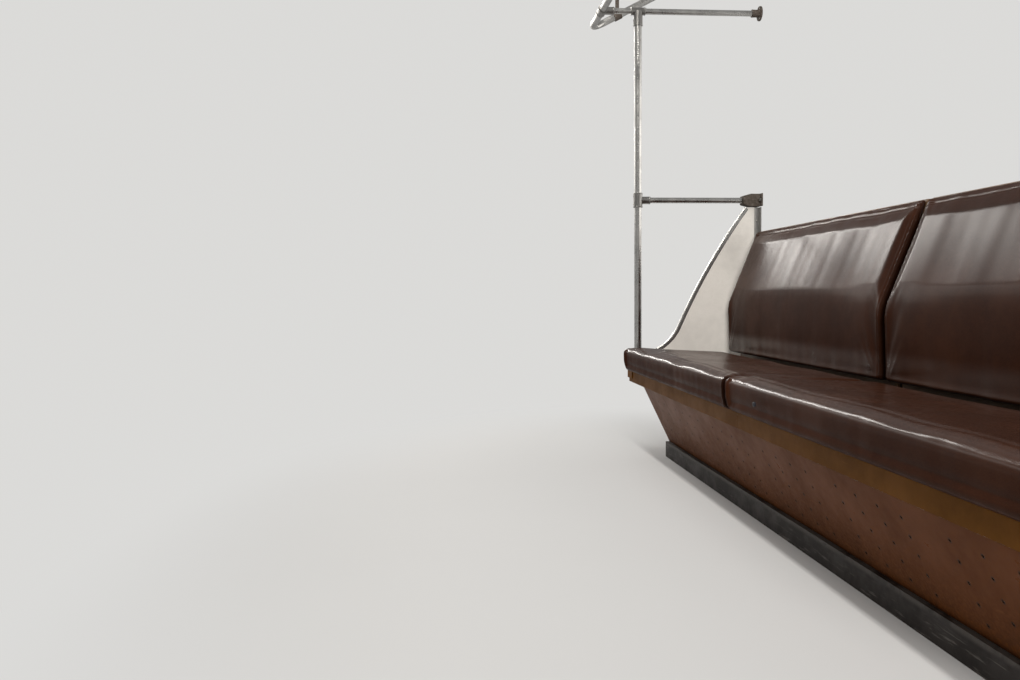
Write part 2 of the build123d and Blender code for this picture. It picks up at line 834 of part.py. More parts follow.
# Tees on top of the poles, with the cross bars through them
with BuildPart() as top_tees:
    with BuildSketch(upright(pole_x, pole_out, cross_up)):
        Circle(sleeve_radius)
    extrude(amount=-sleeve_length)
    with BuildSketch(towards_wall(pole_x, pole_out, cross_up)):
        Circle(bar_sleeve_radius)
    extrude(amount=sleeve_length / 2, both=True)
    with BuildSketch(upright(pole_x, pole_out, pole_top_up)):
        Circle(pole_radius)
    extrude(amount=-sleeve_length, mode=Mode.SUBTRACT)
    with BuildSketch(towards_wall(pole_x, pole_out, cross_up)):
        Circle(bar_radius)
    extrude(amount=sleeve_length, both=True, mode=Mode.SUBTRACT)
    mirror(about=Plane.YZ)
finish(top_tees, "top_tees")

# Tees where the cross bars meet the overhead rail
with BuildPart() as rail_tees:
    with BuildSketch(along_bench(pole_x, rail_out, cross_up)):
        Circle(rail_sleeve_radius)
    extrude(amount=sleeve_length / 2, both=True)
    with BuildSketch(towards_wall(pole_x, rail_out, cross_up)):
        Circle(bar_sleeve_radius)
    extrude(amount=rail_sleeve_radius + socket_length)
    with BuildSketch(along_bench(pole_x, rail_out, cross_up)):
        Circle(rail_radius)
    extrude(amount=sleeve_length / 2, both=True, mode=Mode.SUBTRACT)
    with BuildSketch(towards_wall(pole_x, cross_start_out, cross_up)):
        Circle(bar_radius)
    extrude(amount=rail_sleeve_radius + socket_length, mode=Mode.SUBTRACT)
    mirror(about=Plane.YZ)
finish(rail_tees, "rail_tees")

# Round brackets that hold the cross bars to the wall
bracket_front = towards_wall(pole_x, flange_thickness + socket_length, cross_up)
with BuildPart() as cross_brackets:
    with BuildSketch(towards_wall(pole_x, flange_thickness, cross_up)):
        Circle(flange_radius)
        with PolarLocations(flange_bolt_circle / 2, flange_bolt_count):
            Circle(flange_bolt_radius, mode=Mode.SUBTRACT)
    extrude(amount=flange_thickness)
    with BuildSketch(bracket_front):
        Circle(bar_sleeve_radius)
    extrude(amount=socket_length)
    with BuildSketch(bracket_front):
        Circle(bar_radius)
    extrude(amount=socket_length - tube_end_gap, mode=Mode.SUBTRACT)
    mirror(about=Plane.YZ)
finish(cross_brackets, "cross_brackets")

# Ceiling flanges over the ends of the overhead rail
ceiling_plane = upright(bend_x, rail_flange_out, ceiling_up)
with BuildPart() as ceiling_flanges:
    with BuildSketch(ceiling_plane):
        Circle(flange_radius)
        with PolarLocations(flange_bolt_circle / 2, flange_bolt_count):
            Circle(flange_bolt_radius, mode=Mode.SUBTRACT)
    extrude(amount=-flange_thickness)
    with BuildSketch(ceiling_plane.offset(-flange_thickness)):
        Circle(rail_sleeve_radius)
    extrude(amount=-ceiling_socket_length)
    with BuildSketch(ceiling_plane.offset(-flange_thickness - tube_end_gap)):
        Circle(rail_radius)
    extrude(amount=-ceiling_socket_length, mode=Mode.SUBTRACT)
    mirror(about=Plane.YZ)
finish(ceiling_flanges, "ceiling_flanges")

# Hangers: a saddle on the rising tube, a rod and a ceiling flange
rise = (rail_rise_up - cross_up) / (rail_out - rail_flange_out)
saddle_up = cross_up + rise * (rail_out - hanger_out)
saddle_plane = Plane(origin=(bend_x, y(hanger_out), saddle_up), x_dir=(1, 0, 0), z_dir=(0, 1, rise))
hanger_plane = upright(bend_x, hanger_out, ceiling_up)
with BuildPart() as hangers:
    with BuildSketch(saddle_plane):
        Circle(rail_sleeve_radius)
    extrude(amount=socket_length / 2, both=True)
    with BuildSketch(hanger_plane):
        Circle(hanger_radius)
    extrude(amount=saddle_up - ceiling_up)
    with BuildSketch(hanger_plane):
        Circle(flange_radius)
        with PolarLocations(flange_bolt_circle / 2, flange_bolt_count):
            Circle(flange_bolt_radius, mode=Mode.SUBTRACT)
    extrude(amount=-flange_thickness)
    with BuildSketch(saddle_plane):
        Circle(rail_radius)
    extrude(amount=socket_length, both=True, mode=Mode.SUBTRACT)
    mirror(about=Plane.YZ)
finish(hangers, "hangers")
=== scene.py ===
import json

import bmesh
import bpy
import numpy as np
from bpy.props import (
    BoolProperty,
    FloatProperty,
    FloatVectorProperty,
    IntProperty,
    PointerProperty,
)
from mathutils import Matrix, Vector


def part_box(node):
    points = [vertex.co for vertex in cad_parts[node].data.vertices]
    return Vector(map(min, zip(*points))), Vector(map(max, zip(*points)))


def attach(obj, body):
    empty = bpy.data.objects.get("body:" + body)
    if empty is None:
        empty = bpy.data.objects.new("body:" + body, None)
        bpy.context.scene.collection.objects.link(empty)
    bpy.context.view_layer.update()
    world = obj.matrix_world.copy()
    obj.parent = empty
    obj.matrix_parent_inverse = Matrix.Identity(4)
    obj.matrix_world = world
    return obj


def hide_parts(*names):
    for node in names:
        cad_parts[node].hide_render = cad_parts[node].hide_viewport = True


bl_info = {
    "name": "Metro car bench seat",
    "version": (1, 0, 0),
    "blender": (4, 5, 0),
    "location": "View3D > Sidebar > Metro bench",
    "description": "Pads, trims, fittings and finishes of a longitudinal metro car bench",
    "category": "Object",
}

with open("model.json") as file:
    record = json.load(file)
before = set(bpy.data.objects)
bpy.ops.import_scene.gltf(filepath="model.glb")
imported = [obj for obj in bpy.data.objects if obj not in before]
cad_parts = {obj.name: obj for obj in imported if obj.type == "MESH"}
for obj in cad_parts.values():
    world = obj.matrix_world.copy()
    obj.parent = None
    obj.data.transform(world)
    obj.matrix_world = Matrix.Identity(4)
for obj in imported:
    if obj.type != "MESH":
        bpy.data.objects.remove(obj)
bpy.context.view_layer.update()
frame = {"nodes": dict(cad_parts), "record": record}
NODES = frame["nodes"]
SCREEN_LOW, SCREEN_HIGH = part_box("screen_right")
SIDES = (("left", -1), ("right", 1))


def middle(node, axis):
    """Middle of a CAD node's box along an axis, 0 to 2 for X to Z."""
    low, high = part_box(node)
    return (low[axis] + high[axis]) / 2


# Places from the frame, in metres. "out" is a distance from the car's wall, "up" from its floor.
WALL_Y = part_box("wall_blocks")[1].y
POLE_X = middle("pole_right", 0)
POLE_OUT = WALL_Y - middle("pole_right", 1)
RAIL_OUT = WALL_Y - middle("overhead_rail", 1)
ARM_UP = middle("arm_rail_right", 2)
CROSS_UP = middle("cross_bar_right", 2)
CEILING_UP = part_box("ceiling_flanges")[1].z
LEDGE_LOW_X, LEDGE_TOP_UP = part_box("ledge_right")[0].x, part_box("ledge_right")[1].z
PAN_BOTTOM_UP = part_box("seat_pan_right")[0].z
BASE_TOP_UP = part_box("hinge_rail")[0].z
SEAT_END_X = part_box("seat_cushion_right")[1].x
PLACE_LENGTH = 2 * SEAT_END_X / 6
SCREEN_HALF = (SCREEN_HIGH.x - SCREEN_LOW.x) / 2

# Sizes and places of the solids that the fittings sit on, in metres. SUNK is how deep a screw's
# foot sits in a round sleeve, half as deep in a foot plate and twice as deep in a ledge.
TEE_RADIUS, BAR_TEE_RADIUS, FERRULE_RADIUS = 0.020, 0.0165, 0.019
SLEEVE_LENGTH, SOCKET_LENGTH, FERRULE_LENGTH = 0.064, 0.034, 0.040
FOOT_THICKNESS, PLATE_THICKNESS, CLEAT_THICKNESS, LEAF_THICKNESS = 0.014, 0.006, 0.004, 0.0014
FLANGE_X, FLANGE_OUT, HANGER_OUT, FLANGE_SLEEVE = 1.725, 0.300, RAIL_OUT - 0.125, 0.018
SCREW_CIRCLE, FOOT_CIRCLE, BLOCK_BOLT_X = 0.024, 0.0222, 0.039
HINGES_X, LEAF_SCREWS_X = (0.24775, 1.14775), (-0.045, -0.015, 0.015, 0.045)
HINGE_RAIL_OUT, PAN_LEAF_OUT, LEAF_SCREW_UP = 0.165, 0.195, 0.014
CLAMP_SPREAD, TOP_CLAMP_DROP, SUNK = 0.019, 0.040, 0.0004
ANGLE_IN, ANGLE_SCREW_OUT, ANGLE_END = 0.011, 0.014, 0.06
LEDGE_SCREW_IN, LEDGE_SCREWS_OUT = 0.022, (0.10, 0.33, 0.560)
CLEAT_X, CLEATS_OUT = 1.190, (0.055, 0.415)

# The front panel's slope and holes, in metres: its top, its run and drop, the first row's distance
# down the slope less half a pitch, the pitch of the rows, and a hole column's distance from centre.
PANEL_TOP_UP, PANEL_RUN, PANEL_DROP = 0.313, 0.118, 0.247
HOLE_START, HOLE_ROW_PITCH, HOLE_COLUMN = 0.036, 0.044, 0.049

# Directions.
UP, DOWN, ALONG, INWARD = (0, 0, 1), (0, 0, -1), (1, 0, 0), (-1, 0, 0)
TO_WALL, TO_AISLE = (0, 1, 0), (0, -1, 0)


def y(out):
    """Y of a place that lies so far out from the wall, for numbers and arrays."""
    return WALL_Y - out


# Sizes and colours that a user would change.


def length(name, text, value):
    """A length in metres."""
    return FloatProperty(name=name, description=text, default=value, unit="LENGTH")


def angle(name, text, value):
    """An angle in radians."""
    return FloatProperty(name=name, description=text, default=value, unit="ROTATION")


def power(name, text, value):
    """A lamp's power in watts."""
    return FloatProperty(name=name, description=text, default=value, unit="POWER")


def number(name, text, value):
    """A plain number."""
    return FloatProperty(name=name, description=text, default=value)


def colour(name, text, value):
    """A colour in linear light."""
    return FloatVectorProperty(
        name=name, description=text, default=value, subtype="COLOR", size=3, min=0, max=1
    )


class PadSettings(bpy.types.PropertyGroup):
    """Sizes of the seat cushions and the back pads."""

    voxel: length("Voxel", "Grain of the pad's remesh", 0.0075)
    pressure: number("Pressure", "Pressure of the foam on the cover", 4.0)
    frames: IntProperty(name="Frames", description="Steps that the cover swells for", default=20)
    start_inset: length("Start inset", "How far inside its place a pad starts", 0.006)
    swell_limit: length("Swell limit", "The most that a point may move", 0.012)
    crease_out: length("Crease", "Sit crease behind the seat's front, from the wall", 0.575)
    crease_depth: length("Crease depth", "Depth of the sit crease", 0.0016)
    seam_inset: length("Seam inset", "Sewn seam's distance from a pad's end", 0.011)
    seam_depth: length("Seam depth", "Depth of the sewn seams", 0.0022)
    pucker: length("Puckers", "Height of the cover's soft folds", 0.0024)


class TrimSettings(bpy.types.PropertyGroup):
    """Sizes of the channel on the screens' front edges."""

    top_up: length("Top", "Height of the edge's top", 1.090)
    top_out: length("Top out", "The top, from the wall", 0.064)
    knee_up: length("Knee", "Height where the flare starts", 0.560)
    knee_out: length("Knee out", "The flare's start, from the wall", 0.372)
    toe_up: length("Toe", "Height where the flare ends", 0.444)
    toe_out: length("Toe out", "The flare's end, from the wall", 0.512)
    bow: angle("Bow", "Bow of the long slope", 0.10471976)
    proud: length("Proud", "Metal in front of the board", 0.002)
    cover: length("Cover", "How far the legs reach back", 0.012)
    wall: length("Wall", "Thickness of the legs", 0.002)
    nose: length("Nose", "Radius of the rounded edges", 0.0035)
    gasket: length("Gasket", "Width of the rubber line", 0.0022)


class FittingSettings(bpy.types.PropertyGroup):
    """Sizes of the rings, screws and bolts."""

    lip: length("Lip", "How far a ring stands off its sleeve", 0.0013)
    lip_width: length("Lip width", "Width of a ring", 0.006)
    screw: length("Screw", "Radius of a screw's head", 0.0042)
    bolt: length("Bolt", "Radius of a bolt's head", 0.0072)
    stud: length("Stud", "Radius of the dark stud", 0.0065)
    stud_x: length("Stud x", "The stud's place along the bench", 0.275)
    stud_out: length("Stud out", "The stud's foot, from the wall", 0.6405)
    stud_up: length("Stud up", "The stud's height", 0.418)


class FinishSettings(bpy.types.PropertyGroup):
    """Colours of the finishes."""

    leather: colour("Leather", "Leathercloth of the pads", (0.056, 0.0185, 0.0078))
    leather_dark: colour("Leather, dark", "Leathercloth in its folds", (0.014, 0.0045, 0.0030))
    ochre: colour("Ochre", "Paint of the rim, ends and ledges", (0.190, 0.076, 0.013))
    # Painted shade and reflection: this tone is the ochre paint made darker and redder, standing in
    # for the panel's downward-facing shade and the red floor that it reflects.
    panel: colour("Panel", "Paint of the front panel", (0.145, 0.043, 0.0080))
    plinth: colour("Plinth", "Dark paint of the plinth", (0.014, 0.0085, 0.006))
    # The hidden frame's grey paint is kept dark, partly as painted shade, so that the crevice
    # between the seat and the back pads reads dark.
    primer_and_crevice_shade: colour("Primer", "Grey paint of the hidden frame", (0.050, 0.046, 0.041))
    wood: colour("Wood", "Sealed plywood", (0.21, 0.115, 0.055))
    laminate: colour("Laminate", "Face of the end screens", (0.84, 0.81, 0.765))
    core: colour("Core", "Core of the end screens' edges", (0.12, 0.065, 0.035))
    bracket: colour("Bracket", "Paint of the wall brackets", (0.175, 0.152, 0.134))
    dirt: colour("Dirt", "Dust and grime", (0.040, 0.028, 0.020))
    tube: colour("Tube", "Polished steel tube", (0.62, 0.61, 0.59))
    trim: colour("Trim", "Metal of the screens' trims", (0.56, 0.55, 0.53))
    tee: colour("Tee", "Plated castings of the tees", (0.36, 0.35, 0.335))
    hinge: colour("Hinge", "Zinc of the hinges", (0.13, 0.125, 0.12))
    screw: colour("Screw", "Steel of the screws and bolts", (0.40, 0.39, 0.36))


class StageSettings(bpy.types.PropertyGroup):
    """Floor, lamps and camera."""

    floor: colour("Floor", "Floor round the bench", (0.70, 0.71, 0.72))
    backdrop: colour("Backdrop", "Even background", (0.71, 0.705, 0.69))
    lamp: power("Lamp", "Power of the long overhead lamp", 54.0)
    fill: power("Fill", "Power of the soft light from the aisle's far side", 60.0)
    strip: power("Far strip", "Power of the strip past the left end", 440.0)
    end: power("End lamp", "Power of the lamp past the right end", 580.0)
    rear: power("Rear", "Power of the soft light behind the bench", 60.0)
    world: number("World", "Strength of the even light", 0.08)
    shine: number("Shine", "Share of the backdrop in reflections", 0.40)
    camera_at: FloatVectorProperty(
        name="Camera",
        description="The camera's place",
        default=(2.53, -1.0895, 0.705),
        subtype="TRANSLATION",
    )
    camera_turn: angle("Turn", "Turn towards the bench", 0.082)
    camera_dip: angle("Dip", "Dip below the horizon", 0.050)
    camera_roll: angle("Roll", "Roll of the camera", -0.007)
    lens: FloatProperty(name="Lens", description="Focal length", default=31.76, unit="CAMERA")


class BenchSettings(bpy.types.PropertyGroup):
    """Everything that the bench's operators read."""

    pads: PointerProperty(type=PadSettings)
    trims: PointerProperty(type=TrimSettings)
    fittings: PointerProperty(type=FittingSettings)
    finishes: PointerProperty(type=FinishSettings)
    stage: PointerProperty(type=StageSettings)
    simulate: BoolProperty(name="Simulate", description="Swell the pads with cloth", default=True)


def settings():
    """The bench's settings in this scene."""
    return bpy.context.scene.metro_bench


# Surfaces.


def edited(mesh, *changes):
    """Runs changes on a mesh through bmesh."""
    shell = bmesh.new()
    shell.from_mesh(mesh)
    for change in changes:
        change(shell)
    shell.to_mesh(mesh)
    shell.free()


def merge_doubles(shell, distance=1e-6):
    """Merges points that lie together."""
    bmesh.ops.remove_doubles(shell, verts=shell.verts, dist=distance)


def drop_slivers(shell):
    """Dissolves edges and faces of no size."""
    bmesh.ops.dissolve_degenerate(shell, edges=shell.edges, dist=1e-7)


def fill_holes(shell):
    """Closes the open ends of carried profiles."""
    open_edges = [edge for edge in shell.edges if edge.is_boundary]
    bmesh.ops.holes_fill(shell, edges=open_edges, sides=0)


def face_outwards(shell):
    """Turns every face outwards."""
    bmesh.ops.recalc_face_normals(shell, faces=shell.faces)


def closed_mesh(name, patches, smooth_angle=0.6):
    """A mesh from patches. Each patch is (points, wrap_u, wrap_v), where points has the shape
    (copies, rows, columns, 3). Neighbouring points in rows and columns make quads, and a wrapped
    direction joins its last point to its first. Doubles are merged and faces turned outwards."""
    vertices, faces, start = [], [], 0
    for points, wrap_u, wrap_v in patches:
        points = np.asarray(points, float)
        points = points[None] if points.ndim == 3 else points
        copies, rows, columns, _ = points.shape
        index = np.arange(copies * rows * columns).reshape(copies, rows, columns) + start
        along = np.concatenate([index, index[:, :1]], 1) if wrap_u else index
        around = np.concatenate([along, along[:, :, :1]], 2) if wrap_v else along
        corners = (
            around[:, :-1, :-1],
            around[:, :-1, 1:],
            around[:, 1:, 1:],
            around[:, 1:, :-1],
        )
        vertices.append(points.reshape(-1, 3))
        faces.append(np.stack(corners, -1).reshape(-1, 4))
        start += copies * rows * columns
    mesh = bpy.data.meshes.new(name)
    mesh.from_pydata(np.concatenate(vertices).tolist(), [], np.concatenate(faces).tolist())
    edited(mesh, merge_doubles, drop_slivers, face_outwards)
    mesh.shade_smooth()
    mesh.set_sharp_from_angle(angle=smooth_angle)
    return mesh


def place(name, mesh, body, slot, look=None):
    """A new piece in the scene that rides on a body and has its slot and finish."""
    piece = bpy.data.objects.new(name, mesh)
    bpy.context.scene.collection.objects.link(piece)
    mesh.materials.clear()
    mesh.materials.append(material(look or slot))
    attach(piece, body)
    return piece


def turned(profile, centres, axis, segments=20):
    """Turned pieces, one at each centre. A profile of (height, radius) pairs goes round the axis:
    point = centre + height * axis + radius * (cos a * side + sin a * side_2)."""
    axis = np.asarray(axis, float) / np.linalg.norm(axis)
    side = np.cross(axis, (0.0, 0.0, 1.0) if abs(axis[2]) < 0.9 else (1.0, 0.0, 0.0))
    side /= np.linalg.norm(side)
    side_2 = np.cross(axis, side)
    turn = np.linspace(0, 2 * np.pi, segments, endpoint=False)
    circle = np.cos(turn)[:, None] * side + np.sin(turn)[:, None] * side_2
    height, radius = np.asarray(profile, float).T
    shape = height[:, None, None] * axis + radius[:, None, None] * circle[None]
    return np.asarray(centres, float).reshape(-1, 1, 1, 3) + shape[None], False, True


def carried(profile, path, outward):
    """A closed profile carried along a path in a Y-Z plane. Its pairs are (along X, outward):
    point = path + profile_x * X + profile_out * outward. Its two ends stay open."""
    across = profile[None, :, :1] * np.array(ALONG, float)
    return path[:, None, :] + across + profile[None, :, 1:] * outward[:, None, :], False, True


def both_ends(patches):
    """Patches of the right end together with their mirror images at the left end."""
    mirror = np.array([-1.0, 1.0, 1.0])
    return [*patches, *((np.asarray(points) * mirror, *wraps) for points, *wraps in patches)]


def quarter(centre, radius, first, steps=5):
    """Points of a quarter circle: centre + radius * (cos a, sin a), for a from first on."""
    turn = np.linspace(first, first + np.pi / 2, steps)
    return np.stack([centre[0] + radius * np.cos(turn), centre[1] + radius * np.sin(turn)], -1)


def arc(start, end, way, steps):
    """A circular arc from start to end that leaves start in the angle way. With t the chord's
    angle less way, the heading is way + 2 t s, and point = start + integral of the heading."""
    chord = end - start
    turn = 2 * (np.angle(chord) - way)
    reach = abs(chord) * (turn / 2) / np.sin(turn / 2)
    part = np.linspace(0, 1, steps)
    points = start + reach * (np.exp(1j * (way + turn * part)) - np.exp(1j * way)) / (1j * turn)
    return points, way + turn * part


def edge_path():
    """The right screen's front edge as points and outward directions. A bowed arc goes from the
    top to the knee, a second one flares to the toe, and a straight run ends near the pole."""
    trims = settings().trims
    top = complex(trims.top_out, trims.top_up)
    knee = complex(trims.knee_out, trims.knee_up)
    toe = complex(trims.toe_out, trims.toe_up)
    slope, slope_way = arc(top, knee, np.angle(knee - top) + trims.bow, 48)
    flare, flare_way = arc(knee, toe, slope_way[-1], 28)
    reach = WALL_Y - SCREEN_LOW.y - trims.toe_out
    run_way = np.exp(1j * flare_way[-1])
    run = toe + run_way * reach / run_way.real * np.linspace(0.25, 1, 4)
    line = np.concatenate([slope, flare[1:], run])
    way = np.concatenate([slope_way, flare_way[1:], np.full(len(run), flare_way[-1])])
    outward = np.exp(1j * (way + np.pi / 2))
    points = np.stack([np.full(len(line), POLE_X), y(line.real), line.imag], -1)
    return points, np.stack([np.zeros(len(line)), -outward.real, outward.imag], -1)


# Materials.


def is_socket(value):
    """Whether a value is a node's socket."""
    return isinstance(value, bpy.types.NodeSocket)


def put(kind, inputs, tree=None, **properties):
    """Adds a node. Inputs are given by name or number, as a value or as a socket to link. The node
    goes into the tree that is given, or else into the one of the sockets."""
    if tree is None:
        tree = next(filter(is_socket, inputs.values())).id_data
    node = tree.nodes.new(kind)
    for name, value in properties.items():
        setattr(node, name, value)
    for name, value in inputs.items():
        if is_socket(value):
            tree.links.new(value, node.inputs[name])
        else:
            node.inputs[name].default_value = value
    return node


def maths(operation, first, second=0.0, clamp=False):
    """A Math node's result."""
    inputs = {0: first, 1: second}
    return put("ShaderNodeMath", inputs, operation=operation, use_clamp=clamp).outputs[0]


def times(first, second):
    """One value times another."""
    return maths("MULTIPLY", first, second)


def plus(first, second):
    """One value plus another."""
    return maths("ADD", first, second)


def minus(first, second):
    """One value less another."""
    return maths("SUBTRACT", first, second)


def unsigned(value):
    """A value without its sign."""
    return maths("ABSOLUTE", value)


def remap(value, low, high, to_low=0.0, to_high=1.0):
    """A value carried smoothly from one range to another."""
    inputs = {"Value": value, "From Min": low, "From Max": high}
    inputs |= {"To Min": to_low, "To Max": to_high}
    return put("ShaderNodeMapRange", inputs, interpolation_type="SMOOTHSTEP").outputs[0]


def between(share, low, high):
    """Low where the share is 0, high where it is 1."""
    return remap(share, 0.0, 1.0, low, high)


def blend(factor, first, second):
    """One colour blended with another."""
    inputs = {0: factor}
    for place_in, given in ((6, first), (7, second)):
        inputs[place_in] = given if is_socket(given) else (*given, 1.0)
    return put("ShaderNodeMix", inputs, data_type="RGBA").outputs[2]


def laid_over(base, mask, share, tone):
    """A colour laid over another by a share of a mask."""
    return blend(times(mask, share), base, tone)


def shade(tone, factor, lift=0.0, most=1.0):
    """A darker or lighter colour."""
    return tuple(min(channel * factor + lift, most) for channel in tone)


def noise(vector, scale, detail=3.0, roughness=0.55):
    """A noise value from 0 to 1."""
    inputs = {"Vector": vector, "Scale": scale, "Detail": detail, "Roughness": roughness}
    return put("ShaderNodeTexNoise", inputs).outputs["Fac"]


def stretched(vector, scale):
    """A vector scaled by a different number in each direction."""
    return put("ShaderNodeMapping", {"Vector": vector, "Scale": scale}).outputs[0]


def parted(vector):
    """A vector's three values."""
    return put("ShaderNodeSeparateXYZ", {0: vector}).outputs


def bumped(height, strength, distance, normal=None):
    """A normal bumped by a height."""
    inputs = {"Height": height, "Strength": strength, "Distance": distance}
    if normal is not None:
        inputs["Normal"] = normal
    return put("ShaderNodeBump", inputs).outputs[0]


def effect(name, build, inputs, *outputs):
    """A node group with named inputs and outputs, built once. An input without a value of its own
    is a vector, and so is an output called Normal."""
    group = bpy.data.node_groups.new(name, "ShaderNodeTree")
    vector, value = "NodeSocketVector", "NodeSocketFloat"
    for label, own in inputs.items():
        kind = vector if own is None else value
        socket = group.interface.new_socket(label, in_out="INPUT", socket_type=kind)
        if own is not None:
            socket.default_value = own
    for label in outputs:
        kind = vector if label == "Normal" else value
        group.interface.new_socket(label, in_out="OUTPUT", socket_type=kind)
    results = build(group.nodes.new("NodeGroupInput").outputs)
    result = group.nodes.new("NodeGroupOutput")
    for label, socket in results.items():
        group.links.new(socket, result.inputs[label])


def build_mottle(given):
    """Large soft patches with finer ones over them."""
    broad = noise(given["Vector"], given["Scale"], 2.0)
    fine = noise(given["Vector"], times(given["Scale"], 6.3), 4.0)
    both = plus(times(broad, 0.65), times(fine, 0.35))
    return {"Value": remap(both, given["Low"], given["High"])}


def build_wear(given):
    """Rubbed edges: where a rounded normal leaves the face's own, broken up by noise."""
    rounded = put("ShaderNodeBevel", {"Radius": given["Radius"]}, samples=4).outputs[0]
    flat = put("ShaderNodeNewGeometry", {}, rounded.id_data).outputs["Normal"]
    inputs = {0: rounded, 1: flat}
    alike = put("ShaderNodeVectorMath", inputs, operation="DOT_PRODUCT").outputs["Value"]
    edge = remap(alike, 0.995, 0.80)
    broken = noise(given["Vector"], given["Scale"], 5.0, 0.7)
    rubbed = remap(broken, given["Start"], plus(given["Start"], 0.12))
    return {"Mask": times(edge, rubbed), "Normal": rounded}


def build_scuffs(given):
    """Thin broken streaks: stretched noise kept only near its crest."""
    streaks = noise(given["Vector"], given["Scale"], 5.0, 0.65)
    where = noise(given["Vector"], times(given["Scale"], 0.19), 2.0)
    crest = remap(streaks, given["Start"], plus(given["Start"], 0.10))
    return {"Mask": times(crest, remap(where, 0.42, 0.62))}


def build_leather(given):
    """Leathercloth: fine cells with soft tops, and longer wrinkles over them."""
    inputs = {"Vector": given["Vector"], "Scale": 60.0, "Detail": 2.0}
    bent = put("ShaderNodeTexNoise", inputs).outputs["Color"]
    inputs = {0: bent, 1: (0.004, 0.004, 0.004), 2: given["Vector"]}
    shifted = put("ShaderNodeVectorMath", inputs, operation="MULTIPLY_ADD").outputs[0]
    inputs = {"Vector": shifted, "Scale": given["Scale"]}
    cells = put("ShaderNodeTexVoronoi", inputs, feature="DISTANCE_TO_EDGE")
    tops = remap(cells.outputs["Distance"], 0.0, 0.32)
    wrinkles = noise(given["Vector"], times(given["Scale"], 0.09), 4.0, 0.6)
    height = plus(times(tops, 0.55), times(wrinkles, 0.9))
    return {"Height": height, "Groove": minus(1.0, tops)}


def build_brushed(given):
    """Fine parallel marks of a polishing belt, with dull finger marks over them."""
    marks = noise(given["Vector"], given["Scale"], 3.0, 0.7)
    prints = noise(given["Place"], 14.0, 4.0, 0.6)
    return {"Height": marks, "Prints": remap(prints, 0.44, 0.66)}


def make_effects():
    """The effects that the materials share."""
    at = {"Vector": None}
    effect("mottled_tone", build_mottle, {**at, "Scale": 8.0, "Low": 0.3, "High": 0.7}, "Value")
    wear = {**at, "Scale": 60.0, "Radius": 0.0015, "Start": 0.45}
    effect("rubbed_edges", build_wear, wear, "Mask", "Normal")
    effect("shoe_scuffs", build_scuffs, {**at, "Scale": 20.0, "Start": 0.6}, "Mask")
    effect("leathercloth_grain", build_leather, {**at, "Scale": 420.0}, "Height", "Groove")
    polish = {**at, "Place": None, "Scale": 900.0}
    effect("belt_polish", build_brushed, polish, "Height", "Prints")


def use(name, **inputs):
    """A shared effect placed in a material with its own values."""
    group = bpy.data.node_groups[name]
    return put("ShaderNodeGroup", inputs, node_tree=group).outputs


def mottled(vector, scale, low, high):
    """Patches from 0 to 1."""
    return use("mottled_tone", Vector=vector, Scale=scale, Low=low, High=high)["Value"]


def scuffed(vector, stretch, scale, start):
    """Streaks drawn out along the piece."""
    drawn = stretched(vector, stretch)
    return use("shoe_scuffs", Vector=drawn, Scale=scale, Start=start)["Mask"]


def worn(vector, radius, start):
    """Rubbed edges, as a mask and a rounded normal."""
    return use("rubbed_edges", Vector=vector, Scale=70.0, Radius=radius, Start=start)


def finish(name, **constants):
    """A new material with its shader's constant numbers set on the shader itself. It gives back
    the shader's inputs and the Object coordinates. The frame's own plain material of that name
    gives the name up."""
    if name in bpy.data.materials:
        bpy.data.materials[name].name = f"{name}_plain"
    made = bpy.data.materials.new(name)
    made.use_nodes = True
    tree = made.node_tree
    shader = tree.nodes["Principled BSDF"].inputs
    for label, value in constants.items():
        shader[label.replace("_", " ")].default_value = value
    return shader, put("ShaderNodeTexCoord", {}, tree).outputs["Object"]


def feed(shader, **sockets):
    """Links computed colours, values and normals to the shader."""
    for label, socket in sockets.items():
        socket.id_data.links.new(socket, shader[label.replace("_", " ")])


def leather_finish(tones):
    """Satin reddish-brown leathercloth: grained, creased, and rubbed lighter where people sit. A
    thin coat shines on the seats' noses and tops and on the upper backs. Where the halves meet
    the colour is darkened as painted shade."""
    shader, vector = finish(
        "seat_leather", Coat_Roughness=0.23, Coat_IOR=1.45, Specular_IOR_Level=0.015, IOR=1.5
    )
    x, _, z = parted(vector)
    grain = use("leathercloth_grain", Vector=vector, Scale=380.0)
    tone = mottled(vector, 7.0, 0.32, 0.70)
    rubbed = mottled(stretched(vector, (1.0, 1.6, 1.0)), 3.1, 0.42, 0.62)
    base = laid_over(tones.leather, grain["Groove"], 0.55, tones.leather_dark)
    base = laid_over(base, tone, 0.28, tones.leather_dark)
    base = laid_over(base, rubbed, 0.30, shade(tones.leather, 1.35))
    # Painted shade: dark from 6 mm and clear from 27 mm beside the slot between the halves.
    painted_gap_shade = remap(unsigned(x), 0.006, 0.027, 0.92, 0.0)
    base = blend(painted_gap_shade, base, (0.002, 0.0012, 0.001))
    dull = plus(times(tone, 0.10), times(grain["Groove"], 0.12))
    rough = plus(dull, between(rubbed, 0.34, 0.26))
    # The coat by heights in metres: the seats' noses, their tops, and the backs.
    on_seat = remap(z, 0.50, 0.54, 1.0, 0.0)
    nose = times(remap(z, 0.432, 0.452, 0.0, 0.34), on_seat)
    top = times(remap(z, 0.450, 0.463, 0.0, 0.20), on_seat)
    leant_on = plus(remap(z, 0.47, 0.80, 0.0, 0.30), 0.06)
    coat = times(plus(plus(nose, top), leant_on), minus(1.0, painted_gap_shade))
    folds = noise(stretched(vector, (3.0, 1.5, 1.5)), 7.0, 1.5)
    normal = bumped(grain["Height"], 0.20, 0.0005, bumped(folds, 0.16, 0.004))
    feed(shader, Base_Color=base, Roughness=rough, Coat_Weight=coat, Normal=normal)


